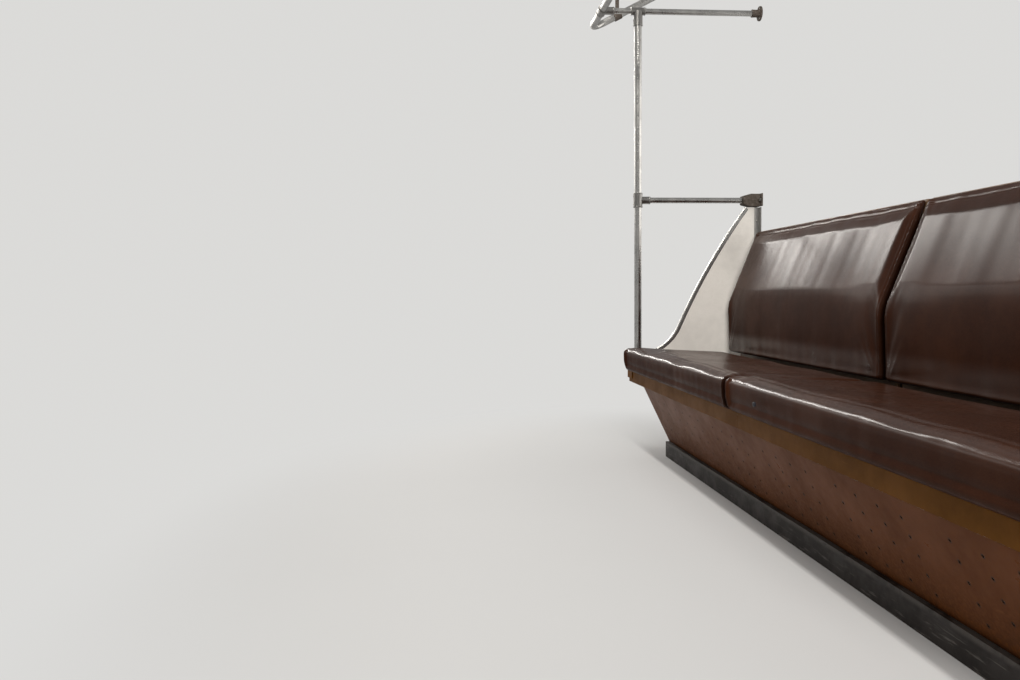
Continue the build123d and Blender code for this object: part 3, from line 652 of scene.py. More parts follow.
def painted_finish(name, tone, bare, wear_start, gloss, dirt_top, dirt, rings=False):
    """Semi-gloss paint on sheet steel: orange peel, mottled tone, rubbed edges and floor grime."""
    shader, vector = finish(name, IOR=1.5, Specular_IOR_Level=0.02)
    at = parted(vector)
    patches = mottled(vector, 6.0, 0.3, 0.72)
    wear = worn(vector, 0.0016, wear_start)
    scuffs = scuffed(vector, (0.35, 1.0, 2.4), 26.0, 0.60)
    speckle = remap(noise(vector, 130.0, 4.0, 0.65), 0.30, 0.62)
    grime = times(remap(at[2], 0.02, dirt_top, 1.0, 0.0), speckle)
    base = blend(patches, tone, shade(tone, 0.68))
    base = laid_over(base, scuffs, 0.30, shade(tone, 1.9, lift=0.02))
    base = laid_over(base, grime, 0.62, dirt)
    if rings:
        base = laid_over(base, hole_rings(at), 0.75, dirt)
    base = blend(wear["Mask"], base, bare)
    rough = plus(gloss, times(patches, 0.13))
    rough = maths("ADD", rough, times(grime, 0.25), clamp=True)
    metal = times(wear["Mask"], 0.6)
    normal = bumped(noise(vector, 420.0, 2.0), 0.10, 0.0006, wear["Normal"])
    feed(shader, Base_Color=base, Roughness=rough, Metallic=metal, Normal=normal)


def hole_rings(at):
    """Grime round the panel's holes. With u the place in a seat's bay and v the distance down the
    slope, a hole's distance is the length of (||u| - 98| - 49, v from its row), in millimetres."""
    bay = maths("MODULO", plus(at[0], 3 * PLACE_LENGTH), PLACE_LENGTH)
    u = unsigned(minus(bay, PLACE_LENGTH / 2))
    u = minus(unsigned(minus(u, 2 * HOLE_COLUMN)), HOLE_COLUMN)
    slope = np.hypot(PANEL_RUN, PANEL_DROP) / PANEL_DROP
    v = times(minus(PANEL_TOP_UP, at[2]), slope)
    v = maths("MODULO", minus(v, HOLE_START), HOLE_ROW_PITCH)
    v = minus(v, HOLE_ROW_PITCH / 2)
    far = maths("SQRT", plus(times(u, u), times(v, v)))
    below_strip = remap(at[2], 0.272, 0.280, 1.0, 0.0)
    return times(remap(far, 0.0030, 0.0080, 1.0, 0.0), below_strip)


def plinth_finish(tones):
    """Dark floor paint with shoe scuffs, and a painted highlight along its top edge under the
    panel.
    """
    shader, vector = finish("plinth_steel", IOR=1.48, Specular_IOR_Level=0.3)
    z = parted(vector)[2]
    patches = mottled(vector, 9.0, 0.3, 0.7)
    scuffs = scuffed(vector, (0.22, 1.0, 3.0), 38.0, 0.56)
    # Painted highlight: a lighter band 50 to 62 mm up, on the plinth's top edge, broken up by
    # patches.
    line = times(remap(z, 0.050, 0.062), remap(patches, 0.15, 0.7))
    base = blend(patches, tones.plinth, shade(tones.plinth, 0.6))
    base = laid_over(base, line, 0.55, (0.12, 0.105, 0.095))
    base = laid_over(base, scuffs, 0.6, (0.16, 0.145, 0.13))
    rough = between(patches, 0.48, 0.66)
    normal = bumped(noise(vector, 300.0), 0.15, 0.0008)
    feed(shader, Base_Color=base, Roughness=rough, Normal=normal)


def plywood_finish(tones):
    """Sealed plywood: long grain, darker pores, a little varnish."""
    shader, vector = finish("plywood", Coat_Weight=0.15, Coat_Roughness=0.25)
    bands = noise(stretched(vector, (0.10, 1.0, 1.0)), 22.0, 5.0, 0.62)
    pores = noise(stretched(vector, (0.035, 1.0, 1.0)), 420.0, 3.0, 0.7)
    base = blend(remap(bands, 0.32, 0.68), tones.wood, shade(tones.wood, 0.62))
    dark = remap(pores, 0.58, 0.74, 0.0, 0.6)
    base = blend(dark, base, shade(tones.wood, 0.35))
    rough = remap(bands, 0.2, 0.8, 0.38, 0.55)
    normal = bumped(pores, 0.15, 0.0005)
    feed(shader, Base_Color=base, Roughness=rough, Normal=normal)


def laminate_finish(tones):
    """Cream laminate with fine scratches, smudges and a brown core that shows at its edges."""
    shader, vector = finish("laminate", IOR=1.5)
    x = parted(vector)[0]
    smudges = mottled(vector, 5.0, 0.35, 0.7)
    scratches = scuffed(vector, (1.0, 0.25, 2.0), 46.0, 0.64)
    depth = unsigned(minus(unsigned(x), POLE_X))
    core = remap(depth, 0.0068, 0.0074, 1.0, 0.0)
    base = blend(smudges, tones.laminate, shade(tones.laminate, 0.86))
    base = laid_over(base, scratches, 0.35, shade(tones.laminate, 0.7))
    base = blend(core, base, tones.core)
    rough = plus(between(smudges, 0.26, 0.40), times(scratches, 0.12))
    normal = bumped(noise(vector, 650.0, 2.0), 0.06, 0.0004)
    feed(shader, Base_Color=base, Roughness=rough, Normal=normal)


def metal_finish(name, tone, rough, stretch=(1.0, 1.0, 1.0), scale=900.0, dents=0.0, marks=0.12):
    """Bare metal: belt marks across the stretch, finger marks, and brighter rubbed edges. Rough is
    the roughness between finger marks and on them, and dents are those of a casting."""
    shader, vector = finish(name, Metallic=1.0)
    drawn = stretched(vector, stretch)
    polish = use("belt_polish", Vector=drawn, Place=vector, Scale=scale)
    wear = worn(vector, 0.0009, 0.35)
    base = blend(mottled(vector, 18.0, 0.35, 0.7), tone, shade(tone, 0.78))
    base = laid_over(base, wear["Mask"], 0.6, shade(tone, 1.3, most=0.95))
    handled = between(polish["Prints"], *rough)
    handled = plus(handled, times(polish["Height"], 0.06))
    normal = bumped(polish["Height"], marks, 0.0002, wear["Normal"] if dents else None)
    if dents:
        normal = bumped(noise(vector, 240.0, 4.0), dents, 0.0008, normal)
    feed(shader, Base_Color=base, Roughness=handled, Normal=normal)


def rubber_finish():
    """Matt black rubber with bloom."""
    shader, vector = finish("seal_rubber", IOR=1.45)
    bloom = mottled(vector, 25.0, 0.3, 0.8)
    base = blend(bloom, (0.012, 0.013, 0.018), (0.035, 0.036, 0.042))
    rough = between(bloom, 0.48, 0.72)
    normal = bumped(noise(vector, 500.0), 0.2, 0.0004)
    feed(shader, Base_Color=base, Roughness=rough, Normal=normal)


def make_finishes():
    """Every material of the bench."""
    tones = settings().finishes
    leather_finish(tones)
    plinth_finish(tones)
    plywood_finish(tones)
    laminate_finish(tones)
    rubber_finish()
    # Name, paint, bare metal under it, start of the wear, gloss, height of the grime.
    for name, tone, bare, wear_start, gloss, dirt_top in (
        ("ochre_paint", tones.ochre, (0.30, 0.27, 0.23), 0.52, 0.30, 0.20),
        # The panel's tone holds painted shade and a painted red reflection on top of the ochre
        # paint.
        ("panel_paint", tones.panel, (0.22, 0.19, 0.16), 0.56, 0.27, 0.24),
        # The frame's grey paint, kept dark partly as painted shade in the crevice under the back
        # pads.
        ("frame_paint", tones.primer_and_crevice_shade, (0.16, 0.15, 0.14), 0.58, 0.52, 0.35),
        ("bracket_grey", tones.bracket, (0.34, 0.32, 0.30), 0.50, 0.34, 0.01),
    ):
        rings = name == "panel_paint"
        painted_finish(name, tone, bare, wear_start, gloss, dirt_top, tones.dirt, rings)
    for way, stretch in (
        ("rail", (0.04, 1.0, 1.0)),
        ("arm", (1.0, 0.04, 1.0)),
        ("pole", (1.0, 1.0, 0.04)),
    ):
        metal_finish(f"tube_steel_{way}", tones.tube, (0.24, 0.36), stretch, marks=0.02)
    metal_finish("trim_metal", tones.trim, (0.34, 0.46), (1.0, 0.2, 0.1), 700.0, marks=0.03)
    metal_finish("tee_steel", tones.tee, (0.30, 0.46), scale=500.0, dents=0.25)
    metal_finish("hinge_steel", tones.hinge, (0.34, 0.50), scale=600.0, dents=0.10)
    metal_finish("screw_steel", tones.screw, (0.26, 0.42), scale=600.0, dents=0.08)


def material(name):
    """A finished material by its slot's name or its own."""
    return bpy.data.materials[{"tube_steel": "tube_steel_rail"}.get(name, name)]


# The CAD nodes' own look.


def smooth_facets():
    """A modifier tree that joins a CAD node's loose triangles and shades its curves smooth."""
    tree = bpy.data.node_groups.new("smooth_facets", "GeometryNodeTree")
    for way in ("INPUT", "OUTPUT"):
        tree.interface.new_socket("Geometry", in_out=way, socket_type="NodeSocketGeometry")
    inputs = {"Geometry": tree.nodes.new("NodeGroupInput").outputs[0], "Distance": 1e-5}
    joined = put("GeometryNodeMergeByDistance", inputs).outputs[0]
    inputs = {"Geometry": joined, "Shade Smooth": True}
    faces = put("GeometryNodeSetShadeSmooth", inputs, domain="FACE").outputs[0]
    bend = put("GeometryNodeInputMeshEdgeAngle", {}, tree).outputs["Unsigned Angle"]
    inputs = {0: bend, 1: 0.45}
    sharp = put("FunctionNodeCompare", inputs, operation="GREATER_THAN").outputs[0]
    inputs = {"Geometry": faces, "Selection": sharp, "Shade Smooth": False}
    edges = put("GeometryNodeSetShadeSmooth", inputs, domain="EDGE").outputs[0]
    tree.links.new(edges, tree.nodes.new("NodeGroupOutput").inputs[0])
    return tree


class BENCH_OT_finishes(bpy.types.Operator):
    """Make the materials, and give them to the CAD nodes with smooth shading"""

    bl_idname = "bench.finishes"
    bl_label = "Finishes"

    def execute(self, context):
        make_effects()
        make_finishes()
        smoother = smooth_facets()
        looks = {part["node"]: part["material_slot"] for part in frame["record"]["subparts"]}
        for side, _ in SIDES:
            looks[f"pole_{side}"] = "tube_steel_pole"
            looks[f"arm_rail_{side}"] = looks[f"cross_bar_{side}"] = "tube_steel_arm"
        for name, node in NODES.items():
            node.data.materials.clear()
            node.data.materials.append(material(looks[name]))
            node.modifiers.new("smooth_facets", "NODES").node_group = smoother
            node.modifiers.new("even_normals", "WEIGHTED_NORMAL").keep_sharp = True
        return {"FINISHED"}


# Pads.


def remeshed(name, node, voxel):
    """A copy of a CAD node's mesh, merged and made of even quads."""
    mesh = NODES[node].data.copy()
    edited(mesh, lambda shell: merge_doubles(shell, 1e-5))
    piece = bpy.data.objects.new(name, mesh)
    bpy.context.scene.collection.objects.link(piece)
    remesh = piece.modifiers.new("even", "REMESH")
    remesh.mode = "VOXEL"
    remesh.voxel_size = voxel
    applied(piece)
    return piece


def applied(piece):
    """Applies a piece's modifiers to its mesh."""
    bpy.context.view_layer.update()
    ready = piece.evaluated_get(bpy.context.evaluated_depsgraph_get())
    mesh = bpy.data.meshes.new_from_object(ready)
    piece.modifiers.clear()
    old, piece.data = piece.data, mesh
    bpy.data.meshes.remove(old)


def coordinates(mesh):
    """A mesh's points as an array."""
    points = np.empty(len(mesh.vertices) * 3)
    mesh.vertices.foreach_get("co", points)
    return points.reshape(-1, 3)


def normals(mesh):
    """A mesh's vertex normals as an array."""
    values = np.empty(len(mesh.vertices) * 3)
    mesh.vertex_normals.foreach_get("vector", values)
    return values.reshape(-1, 3)


def moved(mesh, points):
    """Puts an array of points back into a mesh."""
    mesh.vertices.foreach_set("co", points.ravel())
    mesh.update()


def step(values, low, high):
    """0 below low and 1 above high, smooth between: 3 t^2 - 2 t^3."""
    part = np.clip((values - low) / (high - low), 0, 1)
    return part * part * (3 - 2 * part)


def from_ends(at, low, high):
    """Each point's distance from the nearer end of its pad."""
    return np.minimum(at[:, 0] - low.x, high.x - at[:, 0])


def cloth_swell(piece, start, free):
    """Each point's step when the pad's cover swells as Cloth under pressure for the set frames."""
    pads = settings().pads
    pinned = piece.vertex_groups.new(name="pinned")
    for index in np.flatnonzero(free < 0.05).tolist():
        pinned.add([index], 1.0, "REPLACE")
    cloth = piece.modifiers.new("cover", "CLOTH")
    cover = cloth.settings
    cover.quality = 4
    cover.mass = 0.35
    cover.tension_stiffness = cover.compression_stiffness = 14
    cover.shear_stiffness = 6
    cover.bending_stiffness = 0.6
    cover.use_pressure = True
    cover.uniform_pressure_force = pads.pressure
    cover.effector_weights.gravity = 0
    cover.vertex_group_mass = "pinned"
    cloth.collision_settings.use_collision = False
    cloth.point_cache.frame_start = 1
    cloth.point_cache.frame_end = pads.frames
    for count in range(1, pads.frames + 1):
        bpy.context.scene.frame_set(count)
    ready = piece.evaluated_get(bpy.context.evaluated_depsgraph_get())
    made = coordinates(ready.data) - start
    piece.modifiers.clear()
    bpy.context.scene.frame_set(1)
    return made


def swollen(piece, free):
    """Swells a pad. It starts a little inside its place, and each point ends at
    start + free * step * min(1, limit / length of the step)."""
    pads = settings().pads
    mesh = piece.data
    start = coordinates(mesh) - normals(mesh) * (pads.start_inset * free)[:, None]
    moved(mesh, start)
    if settings().simulate:
        made = cloth_swell(piece, start, free)
    else:
        made = normals(mesh) * pads.start_inset
    far = np.linalg.norm(made, axis=1, keepdims=True) + 1e-9
    kept = made * np.minimum(1, pads.swell_limit / far)
    moved(mesh, start + kept * free[:, None])
    piece.vertex_groups.clear()
    smoother = piece.modifiers.new("finer", "SUBSURF")
    smoother.levels = smoother.render_levels = 1
    applied(piece)


def seam_groove(distance, width, depth):
    """A sewn seam's section: -depth * exp(-(distance / width)^2), with a low ridge beside it."""
    near = (distance / width) ** 2
    return -depth * np.exp(-near) + 0.35 * depth * np.exp(-((np.abs(distance) / width - 2.2) ** 2))


def soft_folds(values, across, seed, count, shortest, longest):
    """Soft folds along one direction: a sum of cosines of seeded lengths, phases and drifts."""
    dice = np.random.default_rng(seed)
    lengths = dice.uniform(shortest, longest, count)
    phases = dice.uniform(0, 2 * np.pi, count)
    drifts = dice.uniform(-0.8, 0.8, count)
    waves = np.cos(2 * np.pi * values[:, None] / lengths + phases + drifts * across[:, None] * 6.0)
    return waves.mean(1) * np.sqrt(count)


def covered(piece, node, body, lift):
    """Lifts a swollen pad's points along their normals, and puts it in its CAD node's place."""
    mesh = piece.data
    moved(mesh, coordinates(mesh) + normals(mesh) * lift[:, None])
    mesh.shade_smooth()
    mesh.materials.clear()
    mesh.materials.append(material("seat_leather"))
    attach(piece, body)
    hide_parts(node)


class BENCH_OT_seat_cushions(bpy.types.Operator):
    """Make the two padded seat cushions"""

    bl_idname = "bench.seat_cushions"
    bl_label = "Seat cushions"

    def execute(self, context):
        pads = settings().pads
        for side, sign in SIDES:
            node = f"seat_cushion_{side}"
            low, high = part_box(node)
            piece = remeshed(f"seat_pad_{side}", node, pads.voxel)

            # The underside and the rear stay on the pan, and the rest swells.
            at = coordinates(piece.data)
            out, up = y(at[:, 1]), at[:, 2]
            pan, rear = PAN_BOTTOM_UP, y(high.y)
            free = step(up, pan + 0.010, pan + 0.050)
            free = np.maximum(free, step(out, 0.600, 0.625) * step(up, pan + 0.004, pan + 0.03))
            free *= step(out, rear + 0.002, rear + 0.03)
            swollen(piece, free * (0.35 + 0.65 * step(from_ends(at, low, high), 0.0, 0.03)))

            at, facing = coordinates(piece.data), normals(piece.data)
            out, ends = y(at[:, 1]), from_ends(at, low, high)
            on_top = step(facing[:, 2], 0.55, 0.85)
            on_front = step(-facing[:, 1], 0.3, 0.7)
            drift = 0.006 * soft_folds(at[:, 0], out * 0, 11 + sign, 5, 0.35, 1.1)
            lift = on_top * seam_groove(out - pads.crease_out - drift, 0.007, pads.crease_depth)
            seam = seam_groove(ends - pads.seam_inset, 0.0026, pads.seam_depth)
            lift += seam * np.maximum(on_top, on_front)
            broad = soft_folds(at[:, 0], out, 21 + sign, 6, 0.22, 0.75)
            lift += on_top * 0.0011 * broad * step(ends, 0.0, 0.08)
            tight = soft_folds(at[:, 0], at[:, 2], 31 + sign, 9, 0.050, 0.190)
            lift += on_front * 0.00035 * tight * step(ends, 0.0, 0.05)
            # A hollow in the middle of each place.
            hollow = 1 - np.cos(2 * np.pi * (at[:, 0] - low.x) / PLACE_LENGTH)
            lift -= on_top * 0.0012 * hollow * step(out, 0.22, 0.32) * step(-out, -0.60, -0.50)
            covered(piece, node, f"seat_{side}", lift)
        return {"FINISHED"}


class BENCH_OT_back_pads(bpy.types.Operator):
    """Make the two padded backrests"""

    bl_idname = "bench.back_pads"
    bl_label = "Back pads"

    def execute(self, context):
        pads = settings().pads
        for side, sign in SIDES:
            node = f"back_cushion_{side}"
            low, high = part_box(node)
            piece = remeshed(f"back_pad_{side}", node, pads.voxel)

            # The rear stays on the board, and the front and top swell.
            at, facing = coordinates(piece.data), normals(piece.data)
            free = step(-facing[:, 1] + 0.45 * facing[:, 2], 0.0, 0.5)
            free = free * (0.35 + 0.65 * step(from_ends(at, low, high), 0.0, 0.04))
            swollen(piece, free * step(at[:, 2], low.z + 0.002, low.z + 0.035))

            at, facing = coordinates(piece.data), normals(piece.data)
            ends = from_ends(at, low, high)
            front = step(-facing[:, 1], 0.25, 0.6)
            top, bottom = high.z - at[:, 2], at[:, 2] - low.z
            lift = front * seam_groove(ends - pads.seam_inset, 0.0026, pads.seam_depth)
            top_seam = seam_groove(top - 0.020, 0.0028, pads.seam_depth)
            lift += front * top_seam * step(ends, 0.004, 0.012)
            fold = soft_folds(at[:, 0], at[:, 2], 41 + sign, 8, 0.070, 0.230)
            near_edge = np.exp(-top / 0.05) + 0.8 * np.exp(-bottom / 0.07) + 0.22
            lift += front * pads.pucker * 0.42 * fold * near_edge * step(ends, 0.0, 0.04)
            broad = soft_folds(at[:, 0], at[:, 2], 51 + sign, 6, 0.25, 0.80)
            lift += front * 0.0014 * broad * step(ends, 0.0, 0.08)
            covered(piece, node, "bench", lift)
        return {"FINISHED"}


# Trims, fittings and fasteners.


def channel_profile():
    """The trim's section, a U over the board's edge with rounded outer corners."""
    trims = settings().trims
    half = SCREEN_HALF
    wide, r = half + trims.wall, trims.nose
    legs = -trims.cover
    inside = [(-wide, legs), (-half, legs), (-half, 0.0), (half, 0.0), (half, legs)]
    right = quarter((wide - r, trims.proud - r), r, 0.0)
    left = quarter((-wide + r, trims.proud - r), r, np.pi / 2)
    return np.concatenate([[(wide, legs)], right, left, inside])


def gasket_profile(face):
    """The rubber line's section behind a leg of the channel, on the face at -1 or 1."""
    trims = settings().trims
    start, end = -trims.cover, -trims.cover - trims.gasket
    # How far each corner stands off the screen's face, and its place across the line.
    corners = (
        (-0.0004, start),
        (0.0012, start),
        (0.0015, (start + end) / 2),
        (0.0006, end),
        (-0.0004, end),
    )
    return np.array([(face * (SCREEN_HALF + off), across) for off, across in corners])


class BENCH_OT_screen_trims(bpy.types.Operator):
    """Make the metal channels and rubber lines on the screens' front edges"""

    bl_idname = "bench.screen_trims"
    bl_label = "Screen trims"

    def execute(self, context):
        metal, rubber = [channel_profile()], [gasket_profile(-1), gasket_profile(1)]
        for name, profiles, slot in (
            ("screen_channels", metal, "trim_metal"),
            ("screen_gaskets", rubber, "seal_rubber"),
        ):
            runs = [carried(profile, *edge_path()) for profile in profiles]
            mesh = closed_mesh(name, both_ends(runs), 0.9)
            edited(mesh, fill_holes, face_outwards)
            mesh.set_sharp_from_angle(angle=0.6)
            piece = place(name, mesh, "bench", slot)
            if slot == "trim_metal":
                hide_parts("screen_trims")
        return {"FINISHED"}


def ring(centre, axis, radius, start, width, lip):
    """A raised ring round a sleeve. Its section is a half circle with its ends just inside the
    sleeve: height = start + width (1 - cos a) / 2, radius + lip sin a, for a from 0 to 180
    degrees, and the last point joins the first."""
    turn = np.linspace(0, np.pi, 9)
    height = start + width / 2 - width / 2 * np.cos(turn)
    section = np.stack([height, radius - 0.0003 + lip * np.sin(turn)], -1)
    points, _, around = turned(section, centre, axis, 48)
    return points, True, around


def head(radius, section):
    """A turned head's section, given as shares of its radius, from its foot's centre outwards."""
    return np.array([(0.0, 0.0), (0.0, 1.0), *section]) * radius


def screw_head(radius):
    """Pan head with a round recess, down to the recess's floor."""
    rim = [(0.22, 1.0), (0.45, 0.90), (0.62, 0.62)]
    return head(radius, [*rim, (0.66, 0.42), (0.30, 0.38), (0.28, 0.0)])


def bolt_head(radius):
    """Bolt's head. Six segments round the axis make it a hexagon."""
    return head(radius, [(0.62, 1.0), (0.74, 0.84), (0.74, 0.0)])


def washer(radius):
    """Plain washer, as a closed disc."""
    return head(radius, [(0.16, 1.0), (0.2, 0.96), (0.2, 0.0)])


def points_xyz(x, out, up):
    """Places as an array, from positions along the bench, out from the wall and up."""
    x, out, up = np.broadcast_arrays(x, out, up)
    return np.stack([x, y(out), up], -1).reshape(-1, 3).astype(float)


def circle_of_three(radius, first=0.0):
    """Offsets of three screws on a circle, in its two directions."""
    turn = 2 * np.pi * (np.arange(3) + first) / 3
    return radius * np.cos(turn), radius * np.sin(turn)


class BENCH_OT_tube_rings(bpy.types.Operator):
    """Make the rolled rings on the tees, sockets and ferrules"""

    bl_idname = "bench.tube_rings"
    bl_label = "Tube rings"

    def execute(self, context):
        sizes = settings().fittings
        lip, width = sizes.lip, sizes.lip_width
        half = SLEEVE_LENGTH / 2
        arm = points_xyz(POLE_X, POLE_OUT, ARM_UP)
        top = points_xyz(POLE_X, POLE_OUT, CROSS_UP)
        rail = points_xyz(POLE_X, RAIL_OUT, CROSS_UP)
        foot = points_xyz(POLE_X, POLE_OUT, LEDGE_TOP_UP + FOOT_THICKNESS)
        bracket = points_xyz(POLE_X, 0.0, CROSS_UP)
        flange = points_xyz(FLANGE_X, FLANGE_OUT, CEILING_UP)
        # Centre, axis, radius, start along the axis and height of each ring.
        tees = (
            (arm, UP, TEE_RADIUS, half - width, lip),
            (arm, UP, TEE_RADIUS, -half, lip),
            (arm, TO_WALL, BAR_TEE_RADIUS, TEE_RADIUS + SOCKET_LENGTH - width, lip),
            (top, UP, TEE_RADIUS, -SLEEVE_LENGTH, lip),
            (top, TO_WALL, BAR_TEE_RADIUS, half - width, lip),
            (top, TO_WALL, BAR_TEE_RADIUS, -half, lip),
            (rail, ALONG, TEE_RADIUS, half - width, lip),
            (rail, ALONG, TEE_RADIUS, -half, lip),
            (rail, TO_WALL, BAR_TEE_RADIUS, TEE_RADIUS + SOCKET_LENGTH - width, lip),
        )
        feet = (
            (foot, UP, FERRULE_RADIUS, FERRULE_LENGTH - width, lip),
            (foot, UP, FERRULE_RADIUS, 0.0, lip * 1.6),
        )
        sockets = (
            (bracket, TO_AISLE, BAR_TEE_RADIUS, SOCKET_LENGTH, lip),
            (flange, DOWN, TEE_RADIUS, FLANGE_SLEEVE, lip),
        )
        for name, group, slot in (
            ("tee_rings", tees, "tee_steel"),
            ("ferrule_rings", feet, "ochre_paint"),
            ("bracket_rings", sockets, "bracket_grey"),
        ):
            rings = [ring(*where, width, height) for *where, height in group]
            place(name, closed_mesh(name, both_ends(rings), 0.9), "bench", slot)
        return {"FINISHED"}


class BENCH_OT_fasteners(bpy.types.Operator):
    """Make the screws, bolts and the dark stud"""

    bl_idname = "bench.fasteners"
    bl_label = "Fasteners"

    def execute(self, context):
        self.fixed_screws()
        self.bolt_heads()
        self.hinge_screws()
        self.stud()
        return {"FINISHED"}

    def fixed_screws(self):
        """Clamp screws of the tees, and screws of the flanges, wall angles, feet and ledges."""
        screw = screw_head(settings().fittings.screw)
        small = screw_head(settings().fittings.screw * 0.8)
        clamp = TEE_RADIUS - SUNK
        x, lift = circle_of_three(SCREW_CIRCLE)
        foot_x, foot_out = circle_of_three(FOOT_CIRCLE, 0.5)
        ceiling = CEILING_UP - PLATE_THICKNESS
        foot_up = LEDGE_TOP_UP + FOOT_THICKNESS - SUNK / 2
        ledge_x, ledge_up = LEDGE_LOW_X + LEDGE_SCREW_IN, LEDGE_TOP_UP - 2 * SUNK
        angle_up = np.linspace(LEDGE_TOP_UP + ANGLE_END, SCREEN_HIGH.z - ANGLE_END, 5)
        pair = np.array([-CLAMP_SPREAD, CLAMP_SPREAD])
        clamps_up = np.array([*(ARM_UP + pair), CROSS_UP - TOP_CLAMP_DROP])
        # Head, place along the bench, out and up, and the way that it faces.
        rows = (
            (small, POLE_X, POLE_OUT + clamp, clamps_up, TO_AISLE),
            (small, POLE_X + pair, RAIL_OUT, CROSS_UP - clamp, DOWN),
            (screw, POLE_X + x, PLATE_THICKNESS, CROSS_UP + lift, TO_AISLE),
            (screw, FLANGE_X + x, FLANGE_OUT - lift, ceiling, DOWN),
            (screw, FLANGE_X + x, HANGER_OUT - lift, ceiling, DOWN),
            (screw, POLE_X - ANGLE_IN, ANGLE_SCREW_OUT, angle_up, INWARD),
            (small, POLE_X + foot_x, POLE_OUT + foot_out, foot_up, UP),
            (screw, ledge_x, LEDGE_SCREWS_OUT, ledge_up, UP),
        )
        heads = [turned(kind, points_xyz(*where), facing, 14) for kind, *where, facing in rows]
        mesh = closed_mesh("fixed_screws", both_ends(heads), 0.5)
        place("fixed_screws", mesh, "bench", "hinge_steel", "screw_steel")

    def bolt_heads(self):
        """Bolts of the wall blocks and of the floor cleats. Each starts just inside its washer."""
        radius = settings().fittings.bolt
        pair = np.array([-BLOCK_BOLT_X, BLOCK_BOLT_X])
        block = points_xyz(POLE_X + pair, PLATE_THICKNESS, ARM_UP)
        bolts = [
            turned(washer(radius * 1.3), block, TO_AISLE, 20),
            turned(bolt_head(radius), block + np.array([0, -0.0018, 0]), TO_AISLE, 6),
        ]
        for out in CLEATS_OUT:
            cleat = points_xyz(CLEAT_X, out, CLEAT_THICKNESS)
            bolts.append(turned(washer(radius * 1.5), cleat, UP, 20))
            bolts.append(turned(bolt_head(radius * 1.15), cleat + np.array([0, 0, 0.002]), UP, 6))
        mesh = closed_mesh("bolt_heads", both_ends(bolts), 0.4)
        place("bolt_heads", mesh, "bench", "hinge_steel", "screw_steel")

    def hinge_screws(self):
        """Screws through the hinges' fixed leaves, and through the leaves under the pans."""
        small = screw_head(settings().fittings.screw * 0.8)
        leaf_x = np.add.outer(HINGES_X, LEAF_SCREWS_X).ravel()
        leaf = points_xyz(leaf_x, HINGE_RAIL_OUT + LEAF_THICKNESS, BASE_TOP_UP + LEAF_SCREW_UP)
        mesh = closed_mesh("leaf_screws", both_ends([turned(small, leaf, TO_AISLE, 12)]), 0.5)
        place("leaf_screws", mesh, "bench", "hinge_steel", "screw_steel")
        for side, sign in SIDES:
            under = points_xyz(sign * leaf_x, PAN_LEAF_OUT, PAN_BOTTOM_UP - LEAF_THICKNESS)
            name = f"pan_screws_{side}"
            mesh = closed_mesh(name, [turned(small, under, DOWN, 12)], 0.5)
            place(name, mesh, f"seat_{side}", "hinge_steel", "screw_steel")

    def stud(self):
        """The dark domed stud in the right seat's front."""
        sizes = settings().fittings
        heights = (-0.004, -0.004, 0.0, 0.0012, 0.0026, 0.0034, 0.0036)
        radii = sizes.stud * np.array([0.0, 0.8, 1.0, 0.98, 0.72, 0.36, 0.0])
        dome = np.stack([heights, radii], -1)
        centre = points_xyz(sizes.stud_x, sizes.stud_out, sizes.stud_up)
        mesh = closed_mesh("seat_stud", [turned(dome, centre, (0, -1, -0.12), 24)], 0.9)
        place("seat_stud", mesh, "seat_right", "seal_rubber")


# Stage.

FLOOR_HALF = 30.0
LAMP_COLOUR, WORLD_COLOUR = (1.0, 0.965, 0.915), (1.0, 0.98, 0.955, 1.0)
# Name, setting of its power, place, target, length and width of each lamp.
LAMPS = (
    ("overhead_lamp", "lamp", (0.4, -0.90, 2.9), (0.4, -0.55, 0.4), 4.6, 0.14),
    ("far_strip", "strip", (-9.9, -1.55, 3.6), (-9.9, -1.55, 0.0), 11.0, 0.70),
    ("aisle_side", "fill", (-6.5, -3.0, 2.3), (-4.0, 0.0, 1.6), 9.0, 1.2),
    ("wall_side", "rear", (0.0, 3.0, 1.7), (0.0, 0.3, 0.9), 8.0, 1.6),
    ("end_lamp", "end", (8.5, -1.2, 3.2), (-1.0, 0.1, 0.7), 3.0, 2.2),
)


def soft_lamp(name, energy, place_at, target, long, wide):
    """A rectangular area lamp that faces a target. The end lamp stays out of reflections."""
    data = bpy.data.lights.new(name, "AREA")
    data.shape = "RECTANGLE"
    data.energy, data.size, data.size_y = energy, long, wide
    data.color = LAMP_COLOUR
    lamp = bpy.data.objects.new(name, data)
    bpy.context.scene.collection.objects.link(lamp)
    lamp.location = place_at
    lamp.rotation_euler = (Vector(target) - Vector(place_at)).to_track_quat("-Z", "Y").to_euler()
    lamp.visible_camera = False
    lamp.visible_glossy = name != "end_lamp"


def seen_rays(tree):
    """1 for what the camera sees, straight or through glass, and less in a reflection."""
    rays = put("ShaderNodeLightPath", {}, tree).outputs
    shine = times(rays["Is Glossy Ray"], settings().stage.shine)
    seen = maths("MAXIMUM", rays["Is Camera Ray"], shine)
    return maths("MAXIMUM", seen, rays["Is Transmission Ray"])


def paled(tree, fade, lit, kind, end):
    """Ends a tree with its lit shader where the fade is 0, and with the backdrop where it is 1."""
    inputs = {"Color": (*settings().stage.backdrop, 1.0), "Strength": 1.0}
    pale = put(kind, inputs, tree).outputs[0]
    inputs = {0: fade, 1: tree.nodes[lit].outputs[0], 2: pale}
    mix = put("ShaderNodeMixShader", inputs).outputs[0]
    tree.links.new(mix, tree.nodes[end].inputs[0])


